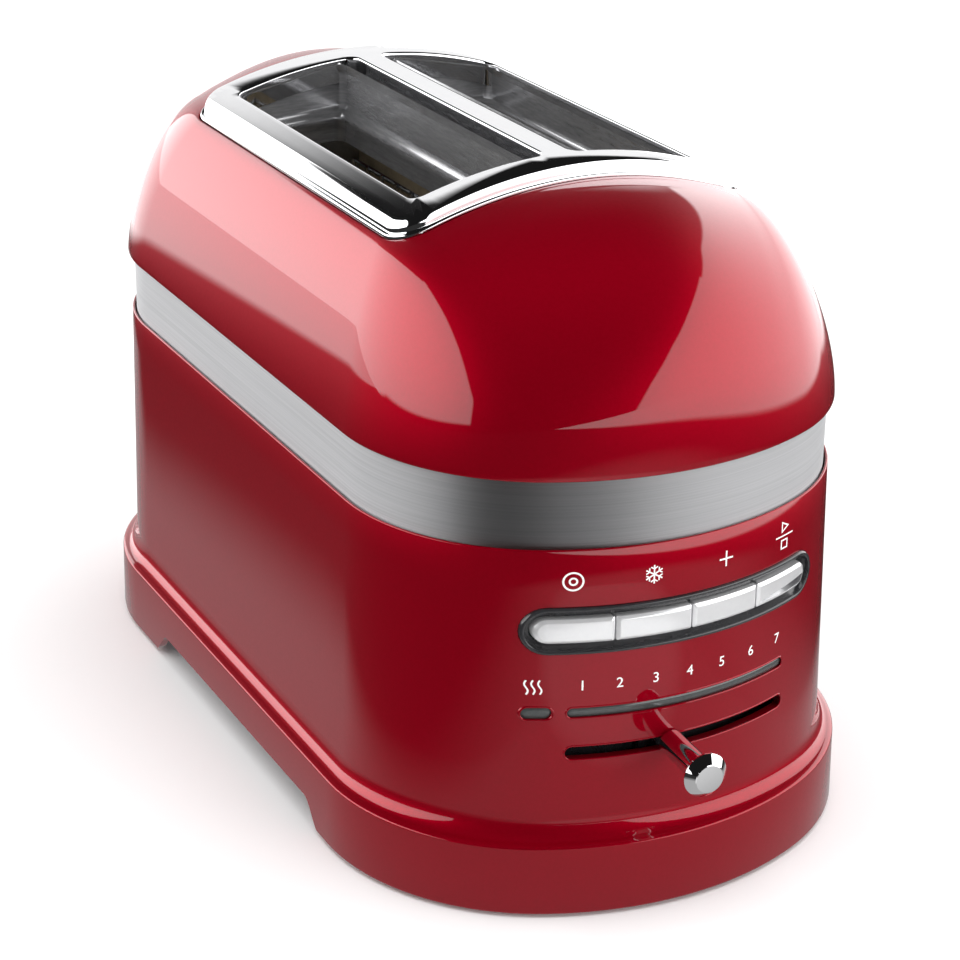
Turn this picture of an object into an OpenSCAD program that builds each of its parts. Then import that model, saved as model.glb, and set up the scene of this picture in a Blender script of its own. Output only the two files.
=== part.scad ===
// Pop up toaster with two long slots, a motor driven bread lift and a curved control front.
// +Z is up, -Y is the control front, and the ground is z = 0. Millimetres.

/* [Lower housing] */
// Length of the housing wall at its top lip
body_l = 323.4; // [318:0.2:330]
// Plan radius of the two short ends
end_r = 106; // [104:1:110]
// How much tighter the four corners are than the two ends, in plan radius
corner_drop = 37.4; // [34:1.7:40.8]
// How far the wall spreads from its lip down to the shoulder
draft = 2; // [1:0.5:3]
// How far the skirt stands out from the lip
flare = 8.3; // [7:0.1:9]
// Thickness of the casting
wall = 3; // [2.5:0.1:3]
// Height of the top lip
lip_z = 125; // [124:0.5:126]
// Height of the shoulder's outer edge
shoulder_z = 25.5; // [25:0.5:26.5]
// Height of the arch cut along each long side of the skirt
arch_h = 10.5; // [9:0.5:12]

/* [Top] */
// Height where the upper shell starts, above the steel band
shell_z = 147.5; // [147:0.5:149]
// Highest point of the slot bezel
top_z = 223; // [221:0.5:225]
// Radius of the arch across the top
arch_r = 154; // [150:1:160]
// Width of the slot bezel
bezel_w = 129; // [127:0.5:130]
// Length of the slot bezel
bezel_l = 174.4; // [173:0.2:176]
// Corner radius of the slot bezel
bezel_r = 12; // [10:0.5:14]
// How far the bezel stands above the edge of the shell
bezel_step = 5; // [4:0.5:6]
// Width of the bar between the two slots
bar_w = 10; // [9:0.5:11]
// Width of each bezel opening
slot_w = 47; // [46:0.5:47.5]
// Length of each bezel opening
slot_l = 144; // [142:1:145]

/* [Controls] */
// Height of the button row
button_z = 98; // [97:0.5:99]
// Height of one button
button_h = 8.2; // [7.6:0.1:8.6]
// Half the arc length of the button row
button_arc = 51.7; // [50:0.1:52]
// Push of a button
button_travel = 1; // [0.8:0.1:1]
// Height of the light guide
light_z = 69.8; // [69:0.2:71]
// Height of the slider slot
slider_z = 55.8; // [55:0.2:57]
// Angle of the slider at rest, about the middle of the front arc
slider_rest = -3.5; // [-15:0.5:15]
// Reach of the slider knob's face, measured from the middle of the front arc
knob_reach = 133.5; // [131:0.5:135]

/* [Lift] */
// Height of the bread rests when raised
rest_z = 138; // [136:0.5:139]
// Travel of the lift
lift_travel = 56; // [50:1:56]
// Angle through which each bread guard closes
guard_angle = 6; // [4:0.5:7]

/* [Hidden] */
$fn = 96;

// Plan outline: an end arc and four corner arcs that meet the straight sides without a kink.
// The end arc meets a corner arc along the slope of the 36 : 77 : 85 right triangle.
slope = [36, 77, 85];
end_cy = body_l / 2 - end_r;
corner_r = end_r - corner_drop;
corner_x = corner_drop * slope[0] / slope[2];
corner_y = end_cy + corner_drop * slope[1] / slope[2];
body_w = 2 * (corner_x + corner_r);
end_half = atan(slope[0] / slope[1]);
far = 300;

// The origin sits under the middle of the whole object, knob included.
knob_face_r = 4.7;
front_reach = end_cy + knob_reach * cos(slider_rest) + knob_face_r * sin(abs(slider_rest));
rear_reach = body_l / 2 + flare;
y_shift = (front_reach - rear_reach) / 2;

// Levels and steps of the housing
skirt_z = 1;
fillet_z = 34;
band_in = 1.5;
band_t = 1.2;
band_z = [117, 150.5];
fit_gap = 0.15;
run_gap = 0.05;

// Dome: steps along a quarter of the outline, levels, and how square the shoulder is
side_steps = 2;
corner_steps = 9;
end_steps = 6;
levels = 10;
side_full = 1.4;
end_full = 2.63;

// Inner sheet metal
cover_z = 7;
cover_t = 1.5;
pan_z = 27;
pan_t = 1.5;
pan_top = pan_z + pan_t;
sheet = 1.2;
bulk_y = 80;
bulk_top = 190;
bulk_half = 66;
shield_x = 64;
foot_at = [[62, -112], [62, 108]];
boss_x = 76;
boss_y = 75;
boss_r = 4.5;
screw_r = 1.5;

// Bread chamber
slot_mid = bar_w / 2 + 4.5 + 21;
liner_x = [bar_w / 2 + 4.5, bar_w / 2 + slot_w - 0.5];
liner_z = 192;
liner_t = 0.8;
guard_x = [8.5, 53.5];
guard_z = 74;
guard_top = 186;
guard_rod_r = 1.5;
heater_x = 59;
heater_z = [70, 186];
rack_bar_t = 3;
rack_bar_h = 10;
finger_r = 1.2;
bar_low = rest_z - rack_bar_h;

// Lift drive
rod_x = 22;
rod_y = -95;
rod_r = 3;
bush_r = 5;
drive_x = 2;
drive_z = 112;
rack_module = 1;
pinion_teeth = 18;
gear_module = 1.25;
gear_teeth = 64;
motor_teeth = 16;
pressure = 20;
motor_x = drive_x + gear_module * (gear_teeth + motor_teeth) / 2;
drive_plate_y = -107.5;
gear_y = -109.5;
gear_t = 3;
shaft_r = 2.5;
motor_shaft_r = 1.5;

// Front controls, as radii about the middle of the front arc
face_r = end_r + 0.6;
button_face_r = face_r + 0.8;
button_step = 2 * button_arc / 4;
button_gap = 0.25;
bezel_rim = face_r + 0.6;
bezel_half = 53.4;
bezel_half_h = 7.9;
light_half = 39.9;
light_half_h = 1.8;
lens_x = -48.4;
lens_half = 4.6;
lens_half_h = 2.2;
slit_half = 40.4;
slit_half_h = 2.35;
board_y = -141;
board_t = 1.6;
track_r = 97;
shank_r = 4.2;
knob_r = 7.4;
knob_bevel = 2.7;

// Crumb tray
tray_half = 50;
tray_z = 10;
tray_h = 12;
tray_y = [-80, 150];
tray_front_half = 52;
tray_front_z = [8, 22];

// Cord gland
gland_z = 46;
gland_r = 6.5;
gland_flange_r = 8.5;

function arc_x(s) = end_r * sin(s / end_r * 180 / PI);
function top_at(x) = top_z - x * x / (2 * arch_r);

// Sweeps a profile of [offset, z] points all the way round the plan outline. Each piece is
// a full turn or a straight run, cut to its own sector of the plan.
module ring(profile) {
  for (s = [0, 180])
    rotate([0, 0, s]) {
      intersection() {
        turned(0, end_cy, end_r, profile);
        sector([[0, end_cy], seam(1), seam(-1)]);
      }
      for (m = [-1, 1])
        intersection() {
          turned(m * corner_x, corner_y, corner_r, profile);
          sector([[m * corner_x, corner_y], seam(m), [m * far, 2 * far], [m * far, corner_y]]);
        }
      rotate([90, 0, 0])
        linear_extrude(height = 2 * corner_y, center = true)
          polygon([for (p = profile) [body_w / 2 + p[0], p[1]]]);
    }
}
module turned(x, y, r, profile) {
  translate([x, y, 0]) rotate_extrude() polygon([for (p = profile) [r + p[0], p[1]]]);
}
module sector(points) {
  translate([0, 0, -1]) linear_extrude(height = far) polygon(points);
}
// A far point on the line where an end arc meets a corner arc.
function seam(m) = [m * 4 * slope[0], end_cy + 4 * slope[1]];

// The plan outline as a filled shape, grown outwards by a distance.
module outline(grow) {
  square([body_w + 2 * grow, 2 * corner_y], center = true);
  for (s = [0, 180])
    rotate([0, 0, s]) {
      intersection() {
        translate([0, end_cy]) circle(r = end_r + grow);
        polygon([[0, end_cy], seam(1), seam(-1)]);
      }
      for (x = [-corner_x, corner_x])
        translate([x, corner_y]) circle(r = corner_r + grow);
    }
}

// A flat sided slot shape with round ends, centred.
module stadium(half_l, half_h) {
  square([2 * (half_l - half_h), 2 * half_h], center = true);
  for (s = [-1, 1])
    translate([s * (half_l - half_h), 0]) circle(r = half_h);
}

module rounded_rect(half_w, half_l, r) {
  square([2 * (half_w - r), 2 * half_l], center = true);
  square([2 * half_w, 2 * (half_l - r)], center = true);
  for (x = [-1, 1], y = [-1, 1])
    translate([x * (half_w - r), y * (half_l - r)]) circle(r = r);
}

// A shape drawn in X and Z, pushed through the front wall along Y.
module through_front(x, z) {
  translate([x, -end_cy - 60, z])
    rotate([90, 0, 0]) linear_extrude(height = 80) children();
}

// A curved slab between two radii about the middle of the front arc.
module front_slab(r_in, r_out, z_low, z_high) {
  translate([0, -end_cy, z_low])
    difference() {
      cylinder(h = z_high - z_low, r = r_out);
      translate([0, 0, -1]) cylinder(h = z_high - z_low + 2, r = r_in);
    }
}

// A bent piece of the front wall's own curve, with the outline of its children.
module front_piece(r_in, r_out, x, z, half_z) {
  intersection() {
    front_slab(r_in, r_out, z - half_z, z + half_z);
    through_front(x, z) children();
  }
}

// Involute gear drawn in X and Z, teeth at whole steps from +X.
function inv_at(r, base) = r <= base ? 0 : tan(acos(base / r)) * 180 / PI - acos(base / r);
function flank(r, m, n, slack) =
  let (pitch = m * n / 2, base = pitch * cos(pressure))
    90 / n - slack / pitch * 90 / PI + inv_at(pitch, base) - inv_at(r, base);
module spur(m, n, slack = 0.12) {
  root = m * n / 2 - 1.25 * m;
  tip = m * n / 2 + 0.9 * m;
  steps = [root, m * n / 2 - 0.4 * m, m * n / 2 + 0.3 * m, tip];
  polygon([
    for (t = [0 : n - 1])
      for (k = [0 : 7])
        let (
          rising = k < 4,
          r = rising ? steps[k] : steps[7 - k],
          a = t * 360 / n + (rising ? -1 : 1) * flank(r, m, n, slack)
        )
          [r * cos(a), r * sin(a)]
  ]);
}

module lower_housing() {
  fillet_run = flare - 1 - draft;
  fillet = [
    for (t = [0 : 15 : 90])
      [draft + fillet_run * (1 - sin(t)), shoulder_z + 0.4 + (fillet_z - shoulder_z - 0.4) * (1 - cos(t))]
  ];
  color("firebrick")
    difference() {
      union() {
        ring(concat(
          [[flare - 0.8, skirt_z], [flare, skirt_z + 0.8], [flare - 0.4, shoulder_z]],
          fillet,
          [
            [0, lip_z - 1], [-0.4, lip_z], [-band_in + 0.1, lip_z],
            [-band_in + 0.1, band_z[0] - 0.1], [-wall, band_z[0] - 0.1],
            [draft - wall, fillet_z], [flare - wall - 0.5, shoulder_z - 2], [flare - wall, skirt_z]
          ]
        ));
        for (x = [-1, 1], y = [-1, 1]) {
          translate([x * boss_x, y * boss_y, cover_z + cover_t])
            cylinder(h = pan_z - cover_z - cover_t, r = boss_r);
          translate([x * (boss_x + 8), y * boss_y, 16.5])
            cube([12.4, 3, 9], center = true);
        }
      }
      skirt_arches();
      for (x = [-1, 1], y = [-1, 1])
        translate([x * boss_x, y * boss_y, 0]) {
          cylinder(h = 18, r = screw_r + run_gap);
          translate([0, 0, 21]) cylinder(h = 20, r = screw_r + run_gap);
        }
      through_front(0, button_z) stadium(bezel_half + fit_gap, bezel_half_h + fit_gap);
      through_front(0, light_z) stadium(light_half, light_half_h);
      through_front(lens_x, light_z) stadium(lens_half, lens_half_h);
      through_front(0, slider_z) stadium(slit_half, slit_half_h);
      translate([-tray_front_half - 0.4, 120, tray_front_z[0] - 0.4])
        cube([2 * tray_front_half + 0.8, 60, tray_front_z[1] - tray_front_z[0] + 0.8]);
      translate([0, body_l / 2 + 10, gland_z]) rotate([90, 0, 0]) cylinder(h = 20, r = gland_r);
    }
}

// The low arch along each long side, with an easy curve down to each foot zone.
module skirt_arches() {
  front = -84;
  rear = 70;
  ease = 13;
  curve = [for (t = [0 : 15 : 180]) [ease * t / 180, (arch_h - 1) * (1 - cos(t)) / 2]];
  for (s = [-1, 1])
    translate([s * (body_w / 2 + flare - wall / 2), 0, 1])
      rotate([90, 0, 90])
        linear_extrude(height = 5, center = true)
          polygon(concat(
            [[front, -5]],
            [for (p = curve) [front + p[0], p[1]]],
            [for (i = [12 : -1 : 0]) [rear - curve[i][0], curve[i][1]]],
            [[rear, -5]]
          ));
}

module steel_band() {
  color("silver")
    ring([
      [-band_in - band_t, band_z[0]], [-band_in, band_z[0]],
      [-band_in, band_z[1]], [-band_in - band_t, band_z[1]]
    ]);
}

// The dome is a loft: each column of points leaves the plan outline upright and lies over
// towards the matching point of the bezel's outline.
function mix(a, b, t) = a + (b - a) * t;
function quarter() = concat(
  [for (i = [0 : side_steps - 1]) [0, i / side_steps]],
  [for (i = [0 : corner_steps - 1]) [1, i / corner_steps]],
  [for (i = [0 : end_steps]) [2, i / end_steps]]
);
function turn(q) = q[0] == 0 ? 0 : q[0] == 1 ? (90 - end_half) * q[1] : 90 - end_half * (1 - q[1]);
function foot_point(q, grow) =
  let (a = turn(q))
    q[0] == 0 ? [body_w / 2 + grow, corner_y * q[1]]
    : q[0] == 1 ? [corner_x + (corner_r + grow) * cos(a), corner_y + (corner_r + grow) * sin(a)]
    : [(end_r + grow) * cos(a), end_cy + (end_r + grow) * sin(a)];
function head_point(q) =
  let (
    w = bezel_w / 2 - bezel_r,
    l = bezel_l / 2 - bezel_r,
    bend = bezel_r * end_half * PI / 180,
    done = (bend + w) * pow(q[1], 2),
    a = q[0] == 1 ? turn(q) : 90 - end_half + done / bezel_r * 180 / PI
  )
    q[0] == 0 ? [w + bezel_r, l * q[1]]
    : q[0] == 2 && done > bend ? [w - done + bend, l + bezel_r]
    : [w + bezel_r * cos(a), l + bezel_r * sin(a)];
function walked(q) = // along the outline from the start of the corner, in units of radius times degrees
  q[0] == 0 ? 0 : q[0] == 1 ? corner_r * turn(q) : corner_r * (90 - end_half) + end_r * end_half * q[1];
function fullness(q) = mix(side_full, end_full, (1 - cos(180 * walked(q) / walked([2, 1]))) / 2);
function dome_point(q, u, grow, drop) =
  let (
    a = foot_point(q, grow),
    b = head_point(q),
    n = fullness(q),
    h = 1 - pow(1 - pow(u, n), 1 / n)
  )
    [mix(a[0], b[0], h), mix(a[1], b[1], h), mix(shell_z, top_at(b[0]) - bezel_step - drop, u)];
function all_round(pts) =
  let (n = len(pts))
    concat(
      pts,
      [for (i = [n - 2 : -1 : 0]) [-pts[i][0], pts[i][1], pts[i][2]]],
      [for (i = [1 : n - 1]) [-pts[i][0], -pts[i][1], pts[i][2]]],
      [for (i = [n - 2 : -1 : 1]) [pts[i][0], -pts[i][1], pts[i][2]]]
    );
module upper_shell() {
  outer = [for (i = [0 : levels]) all_round([for (q = quarter()) dome_point(q, sin(90 * i / levels), 0.8, 0)])];
  inner = [for (i = [levels : -1 : 0]) all_round([for (q = quarter()) dome_point(q, sin(90 * i / levels), -0.9, 2)])];
  rows = concat(outer, inner);
  n = len(rows[0]);
  m = len(rows);
  color("darkred")
    polyhedron(
      points = [for (r = rows) each r],
      faces = [
        for (j = [0 : m - 1], i = [0 : n - 1])
          let (
            a = j * n + i, b = j * n + (i + 1) % n,
            c = ((j + 1) % m) * n + i, d = ((j + 1) % m) * n + (i + 1) % n
          )
            each [[a, c, b], [b, c, d]]
      ]
    );
}

// Everything under the arched top, down to a distance below it.
module under_arch(r) {
  translate([0, far / 2, top_z - arch_r]) rotate([90, 0, 0]) cylinder(h = far, r = r);
}

module slot_bezel() {
  half_w = bezel_w / 2 - fit_gap;
  half_l = bezel_l / 2 - fit_gap;
  color("gainsboro")
    difference() {
      intersection() {
        under_arch(arch_r);
        translate([0, 0, 180]) linear_extrude(height = 60) rounded_rect(half_w, half_l, bezel_r);
      }
      intersection() {
        under_arch(arch_r - 1.5);
        translate([0, 0, 170])
          linear_extrude(height = 60) rounded_rect(half_w - 1.5, half_l - 1.5, bezel_r - 1.5);
      }
      under_arch(arch_r - 11);
      for (s = [-1, 1])
        translate([s * (bar_w + slot_w) / 2, 0, 170])
          linear_extrude(height = 60) rounded_rect(slot_w / 2, slot_l / 2, 4);
    }
}

module slot_liner(s) {
  mid = s * (liner_x[0] + liner_x[1]) / 2;
  half = (liner_x[1] - liner_x[0]) / 2;
  color("dimgray")
    intersection() {
      under_arch(arch_r - 1.5);
      translate([mid, 0, liner_z])
        linear_extrude(height = 40)
          difference() {
            rounded_rect(half, slot_l / 2 + 0.4, 3);
            rounded_rect(half - liner_t, slot_l / 2 + 0.4 - liner_t, 3 - liner_t);
          }
    }
}
module slot_liner_left() slot_liner(-1);
module slot_liner_right() slot_liner(1);

module bottom_cover() {
  color("dimgray")
    difference() {
      translate([0, 0, cover_z]) linear_extrude(height = cover_t) outline(flare - wall - 1.2);
      for (x = [-1, 1], y = [-1, 1])
        translate([x * boss_x, y * boss_y, 0]) cylinder(h = 20, r = screw_r + run_gap);
      translate([-tray_front_half, 153, 0]) cube([2 * tray_front_half, 40, 20]);
      for (i = [-5 : 5])
        translate([0, i * 12, cover_z + cover_t / 2]) cube([70, 4, 10], center = true);
    }
}

module rubber_feet() {
  color("black")
    for (p = foot_at, x = [-1, 1])
      translate([x * p[0], p[1], 0]) {
        cylinder(h = 3, r1 = 8, r2 = 9);
        translate([0, 0, 3]) cylinder(h = cover_z - 3, r = 9);
      }
}

module base_screws() {
  color("silver")
    for (x = [-1, 1], y = [-1, 1])
      translate([x * boss_x, y * boss_y, 0]) {
        translate([0, 0, cover_z - 1.6]) cylinder(h = 1.6, r = 3.2);
        translate([0, 0, cover_z - 1]) cylinder(h = 10, r = screw_r);
      }
}

module chassis_screws() {
  color("silver")
    for (x = [-1, 1], y = [-1, 1])
      translate([x * boss_x, y * boss_y, 0]) {
        translate([0, 0, pan_top]) cylinder(h = 1.6, r = 3.2);
        translate([0, 0, 22]) cylinder(h = pan_top - 21, r = screw_r);
      }
}

module chassis_pan() {
  color("lightgray")
    difference() {
      translate([0, 0, pan_z])
        linear_extrude(height = pan_t)
          polygon([
            [82, -82], [82, 82], [62, 134], [-62, 134], [-82, 82], [-82, -82], [-60, -142], [60, -142]
          ]);
      translate([-56, -74, 0]) cube([112, 148, 60]);
      for (x = [-1, 1], y = [-1, 1])
        translate([x * boss_x, y * boss_y, 0]) cylinder(h = 60, r = screw_r + run_gap);
    }
}

// One end wall of the bread chamber, with a hole for each guard's rod.
module bulkhead(y_low) {
  difference() {
    translate([-bulk_half, y_low, pan_top]) cube([2 * bulk_half, sheet, bulk_top - pan_top]);
    for (x = guard_x, s = [-1, 1])
      translate([s * x, y_low - 1, guard_z])
        rotate([-90, 0, 0]) cylinder(h = sheet + 2, r = guard_rod_r + run_gap);
  }
}
module front_bulkhead() {
  low = rest_z - lift_travel - rack_bar_h - 2;
  color("lightgray")
    difference() {
      bulkhead(-bulk_y);
      for (s = [-1, 1])
        translate([s * slot_mid - rack_bar_t / 2 - 0.5, -bulk_y - 1, low])
          cube([rack_bar_t + 1, sheet + 2, rest_z + 2 - low]);
    }
}
module rear_bulkhead() {
  color("lightgray") bulkhead(bulk_y - sheet);
}

module heat_shield(s) {
  color("lightgray")
    translate([s > 0 ? shield_x : -shield_x - 1, -bulk_y + sheet, pan_top])
      cube([1, 2 * (bulk_y - sheet), bulk_top - pan_top]);
}
module heat_shield_left() heat_shield(-1);
module heat_shield_right() heat_shield(1);

module heater_board(x) {
  color("tan")
    translate([x - 0.5, -bulk_y + sheet, heater_z[0]])
      cube([1, 2 * (bulk_y - sheet), heater_z[1] - heater_z[0]]);
}
module heater_left() heater_board(-heater_x);
module heater_centre() heater_board(0);
module heater_right() heater_board(heater_x);

// Windings: flat ribbon runs on the bread side of each board.
module heater_ribbons() {
  color("gray")
    for (face = [-heater_x + 0.5, -0.9, 0.5, heater_x - 0.9], i = [0 : 8])
      translate([face, -70, heater_z[0] + 8 + i * 12]) cube([0.4, 140, 2]);
}

// A wire guard: rod, frame and uprights, with a crank on the carriage side.
module guard(x, inward) {
  color("silver")
    translate([x, 0, guard_z]) {
      translate([0, 84, 0]) rotate([90, 0, 0]) cylinder(h = 168, r = guard_rod_r);
      for (y = [-66 : 12 : 66])
        translate([0, y, 0]) cylinder(h = guard_top - guard_z, r = 0.9);
      for (z = [38, 75, guard_top - guard_z - 1])
        translate([-inward * 1.2, 67, z]) rotate([90, 0, 0]) cylinder(h = 134, r = 0.8);
      translate([min(0, inward * 9), -83.4, -1.8]) cube([9, 1.6, 3.6]);
    }
}
module guard_left_outer() guard(-guard_x[1], 1);
module guard_left_inner() guard(-guard_x[0], -1);
module guard_right_inner() guard(guard_x[0], 1);
module guard_right_outer() guard(guard_x[1], -1);

module carriage_plate() {
  color("silver")
    difference() {
      union() {
        translate([-36, -88, bar_low - 8]) cube([72, 2, rack_bar_h + 14]);
        for (s = [-1, 1]) {
          translate([s * rod_x, rod_y, bar_low - 12]) cylinder(h = 32, r = bush_r);
          translate([s * rod_x - 2, rod_y, bar_low - 8]) cube([4, 8, rack_bar_h + 14]);
        }
      }
      for (s = [-1, 1])
        translate([s * rod_x, rod_y, 0]) cylinder(h = far, r = rod_r + run_gap);
    }
}

module bread_rack(s) {
  color("silver")
    translate([s * slot_mid, 0, 0]) {
      translate([-rack_bar_t / 2, -86, bar_low]) cube([rack_bar_t, 160, rack_bar_h]);
      for (y = [-63 : 18 : 63])
        translate([-13.5, y, rest_z - finger_r - 0.4]) rotate([0, 90, 0]) cylinder(h = 27, r = finger_r);
    }
}
module bread_rack_left() bread_rack(-1);
module bread_rack_right() bread_rack(1);

module lift_rack() {
  pitch = PI * rack_module;
  line = drive_x - rack_module * pinion_teeth / 2;
  half = pitch / 4 - 0.12;
  lean = tan(pressure);
  out = 0.9 * rack_module;
  deep = 1.25 * rack_module;
  low = drive_z - 4 * pitch;
  count = ceil((lift_travel + 8 * pitch) / pitch);
  color("whitesmoke") {
    translate([0, -100, 0])
      rotate([90, 0, 0])
        linear_extrude(height = 6)
          polygon(concat(
            [[line - 7, low]],
            [
              for (i = [0 : count - 1])
                let (z = low + (i + 0.5) * pitch)
                  each [
                    [line - deep, z - half - deep * lean], [line + out, z - half + out * lean],
                    [line + out, z + half - out * lean], [line - deep, z + half + deep * lean]
                  ]
            ],
            [[line - 7, low + count * pitch]]
          ));
    translate([line - 7, -100, bar_low - 6]) cube([5, 12, rack_bar_h + 10]);
  }
}

module guide_rods() {
  color("silver")
    for (s = [-1, 1])
      translate([s * rod_x, rod_y, pan_top]) cylinder(h = bulk_top - pan_top, r = rod_r);
}

module rod_bracket() {
  color("lightgray")
    difference() {
      union() {
        translate([-32, -104, 185]) cube([64, 104 - bulk_y, 1.5]);
        translate([-32, -bulk_y - 1.5, 172]) cube([64, 1.5, 14]);
      }
      for (s = [-1, 1])
        translate([s * rod_x, rod_y, 180]) cylinder(h = 20, r = rod_r + run_gap);
    }
}

module drive_pinion() {
  color("whitesmoke")
    translate([drive_x, 0, drive_z]) {
      translate([0, -99.5, 0])
        rotate([90, 0, 0]) linear_extrude(height = 7) spur(rack_module, pinion_teeth);
      translate([0, -99, 0]) rotate([90, 0, 0]) cylinder(h = 14.5, r = shaft_r);
    }
}

module drive_gear() {
  color("whitesmoke")
    translate([drive_x, gear_y, drive_z])
      rotate([90, 0, 0])
        difference() {
          linear_extrude(height = gear_t) spur(gear_module, gear_teeth);
          translate([0, 0, -1]) cylinder(h = gear_t + 2, r = shaft_r);
          for (a = [0 : 60 : 300])
            rotate([0, 0, a]) translate([22, 0, -1]) cylinder(h = gear_t + 2, r = 8);
        }
}

module motor_pinion() {
  color("gold")
    translate([motor_x, gear_y, drive_z]) {
      rotate([90, 180 / motor_teeth, 0]) linear_extrude(height = gear_t) spur(gear_module, motor_teeth);
      translate([0, 7.5, 0]) rotate([90, 0, 0]) cylinder(h = 10.5, r = motor_shaft_r);
    }
}

module lift_motor() {
  color("silver")
    translate([motor_x, drive_plate_y, drive_z])
      difference() {
        union() {
          rotate([-90, 0, 0]) cylinder(h = 20, r = 12);
          translate([0, 20, 0]) rotate([-90, 0, 0]) cylinder(h = 3, r = 5);
        }
        translate([0, -1, 0]) rotate([-90, 0, 0]) cylinder(h = 8, r = motor_shaft_r + run_gap);
      }
}

module motor_bracket() {
  color("lightgray")
    difference() {
      union() {
        translate([-14, drive_plate_y - sheet, pan_top]) cube([82, sheet, 104]);
        translate([-14, drive_plate_y, pan_top]) cube([82, 14, 1.5]);
      }
      translate([drive_x, drive_plate_y + 1, drive_z])
        rotate([90, 0, 0]) cylinder(h = 4, r = shaft_r + run_gap);
      translate([motor_x, drive_plate_y + 1, drive_z]) rotate([90, 0, 0]) cylinder(h = 4, r = 4);
      for (s = [-1, 1])
        translate([s * rod_x, rod_y, pan_top - 1]) cylinder(h = 6, r = rod_r + 2);
    }
}

module button_bezel() {
  half_l = arc_x(button_arc) + 0.4;
  half_h = button_h / 2 + 0.4;
  color("black")
    difference() {
      union() {
        front_piece(face_r - 4, bezel_rim, 0, button_z, 12) stadium(bezel_half, bezel_half_h);
        front_piece(face_r - 5.8, face_r - 3.9, 0, button_z, 12) stadium(bezel_half + 2.5, bezel_half_h + 2.5);
      }
      intersection() {
        front_slab(face_r - 2, face_r + 9, button_z - 12, button_z + 12);
        through_front(0, button_z) stadium(bezel_half - 1.2, bezel_half_h - 1.2);
      }
      through_front(0, button_z) stadium(half_l, half_h);
    }
}

// One button: the curved cap cut from the row, and the stem that reaches its switch.
module button(i) {
  x_low = i == 0 ? -far : arc_x(-button_arc + i * button_step) + button_gap;
  x_high = i == 3 ? far : arc_x(-button_arc + (i + 1) * button_step) - button_gap;
  stem_x = arc_x(-button_arc + (i + 0.5) * button_step);
  stem_end = board_y - 6;
  color("gainsboro") {
    intersection() {
      front_slab(button_face_r - 4, button_face_r, button_z - 6, button_z + 6);
      through_front(0, button_z) stadium(arc_x(button_arc), button_h / 2);
      translate([x_low, -far, 0]) cube([x_high - x_low, far, far]);
    }
    difference() {
      translate([stem_x - 2, -end_cy - button_face_r - 2, button_z - 2])
        cube([4, end_cy + button_face_r + 2 + stem_end, 4]);
      translate([0, -end_cy, 0])
        difference() {
          cylinder(h = far, r = far);
          translate([0, 0, -1]) cylinder(h = far + 2, r = button_face_r - 3);
        }
    }
  }
}
module bagel_button() button(0);
module frozen_button() button(1);
module longer_button() button(2);
module toast_button() button(3);

module board_bracket() {
  back = board_y + board_t;
  color("lightgray") {
    translate([-48, back, pan_top]) cube([96, sheet, 82]);
    translate([-48, back, pan_top]) cube([96, 14, 1.5]);
  }
}

module button_board() {
  color("darkgreen") translate([-52, board_y, 68]) cube([104, board_t, 42]);
}

module tact_switches() {
  color("black")
    for (i = [0 : 3])
      translate([arc_x(-button_arc + (i + 0.5) * button_step), board_y, button_z]) {
        translate([-3, -3.4, -3]) cube([6, 3.4, 6]);
        translate([0, 0, 0]) rotate([90, 0, 0]) cylinder(h = 4.8, r = 1.7);
      }
}

module scale_lamps() {
  color("orange")
    for (i = [-3 : 3])
      translate([i * 11.4 - 1.5, board_y - 1.4, light_z]) cube([3, 1.4, 2.4]);
}

// A lens that fills its slot in the front wall, with a flange behind the wall.
module front_lens(x, z, half_l, half_h, wall_r) {
  front_piece(wall_r - 4, wall_r - 0.4, x, z, half_h + 1) stadium(half_l - 0.1, half_h - 0.1);
  front_piece(wall_r - 5.4, wall_r - 3.6, x, z, half_h + 3) stadium(half_l + 1.4, half_h + 1.4);
}
module light_guide() {
  color("slategray") front_lens(0, light_z, light_half, light_half_h, end_r + 1.1);
}
module keep_warm_lens() {
  color("slategray") front_lens(lens_x, light_z, lens_half, lens_half_h, end_r + 1);
}

// Turns a piece about the middle of the front arc, from straight ahead.
module on_arc(a) {
  translate([0, -end_cy, 0]) rotate([0, 0, a]) children();
}

module slider_track() {
  back = board_y + board_t;
  color("whitesmoke")
    intersection() {
      union() {
        front_slab(track_r, track_r + 2.5, 46, 64);
        translate([-far / 2, -end_cy - far / 2, 46])
          intersection() {
            cube([far, far, 2.5]);
            translate([far / 2, far / 2, -1]) cylinder(h = 5, r = track_r + 1);
          }
      }
      translate([-46, -far, 0]) cube([92, far + back, far]);
    }
}

module slider_carrier() {
  half = 4.5;
  color("white")
    on_arc(slider_rest) {
      rotate([0, 0, -90 - half])
        rotate_extrude(angle = 2 * half)
          polygon([
            [track_r - 2.5, 58], [track_r - 0.3, 58], [track_r - 0.3, 64.3], [track_r + 2.8, 64.3],
            [track_r + 2.8, 50.5], [track_r + 5.4, 50.5], [track_r + 5.4, 66], [track_r - 2.5, 66]
          ]);
      translate([-3.5, -end_r - 2.2, slider_z - 1.6]) cube([7, 6.5, 3.2]);
    }
}

module slider_shank() {
  color("gainsboro")
    on_arc(slider_rest)
      translate([0, -end_r - 2.2, slider_z])
        rotate([90, 0, 0]) cylinder(h = knob_reach - end_r - 2.2 - 3.7, r = shank_r);
}

module slider_knob() {
  color("gainsboro")
    on_arc(slider_rest)
      translate([0, -knob_reach + 3.7, slider_z])
        rotate([90, 0, 0])
          rotate_extrude()
            polygon([
              [0, 0], [knob_r - 0.5, 0], [knob_r, 0.5], [knob_r, 3.7 - knob_bevel],
              [knob_face_r, 3.7], [0, 3.7]
            ]);
}

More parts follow.
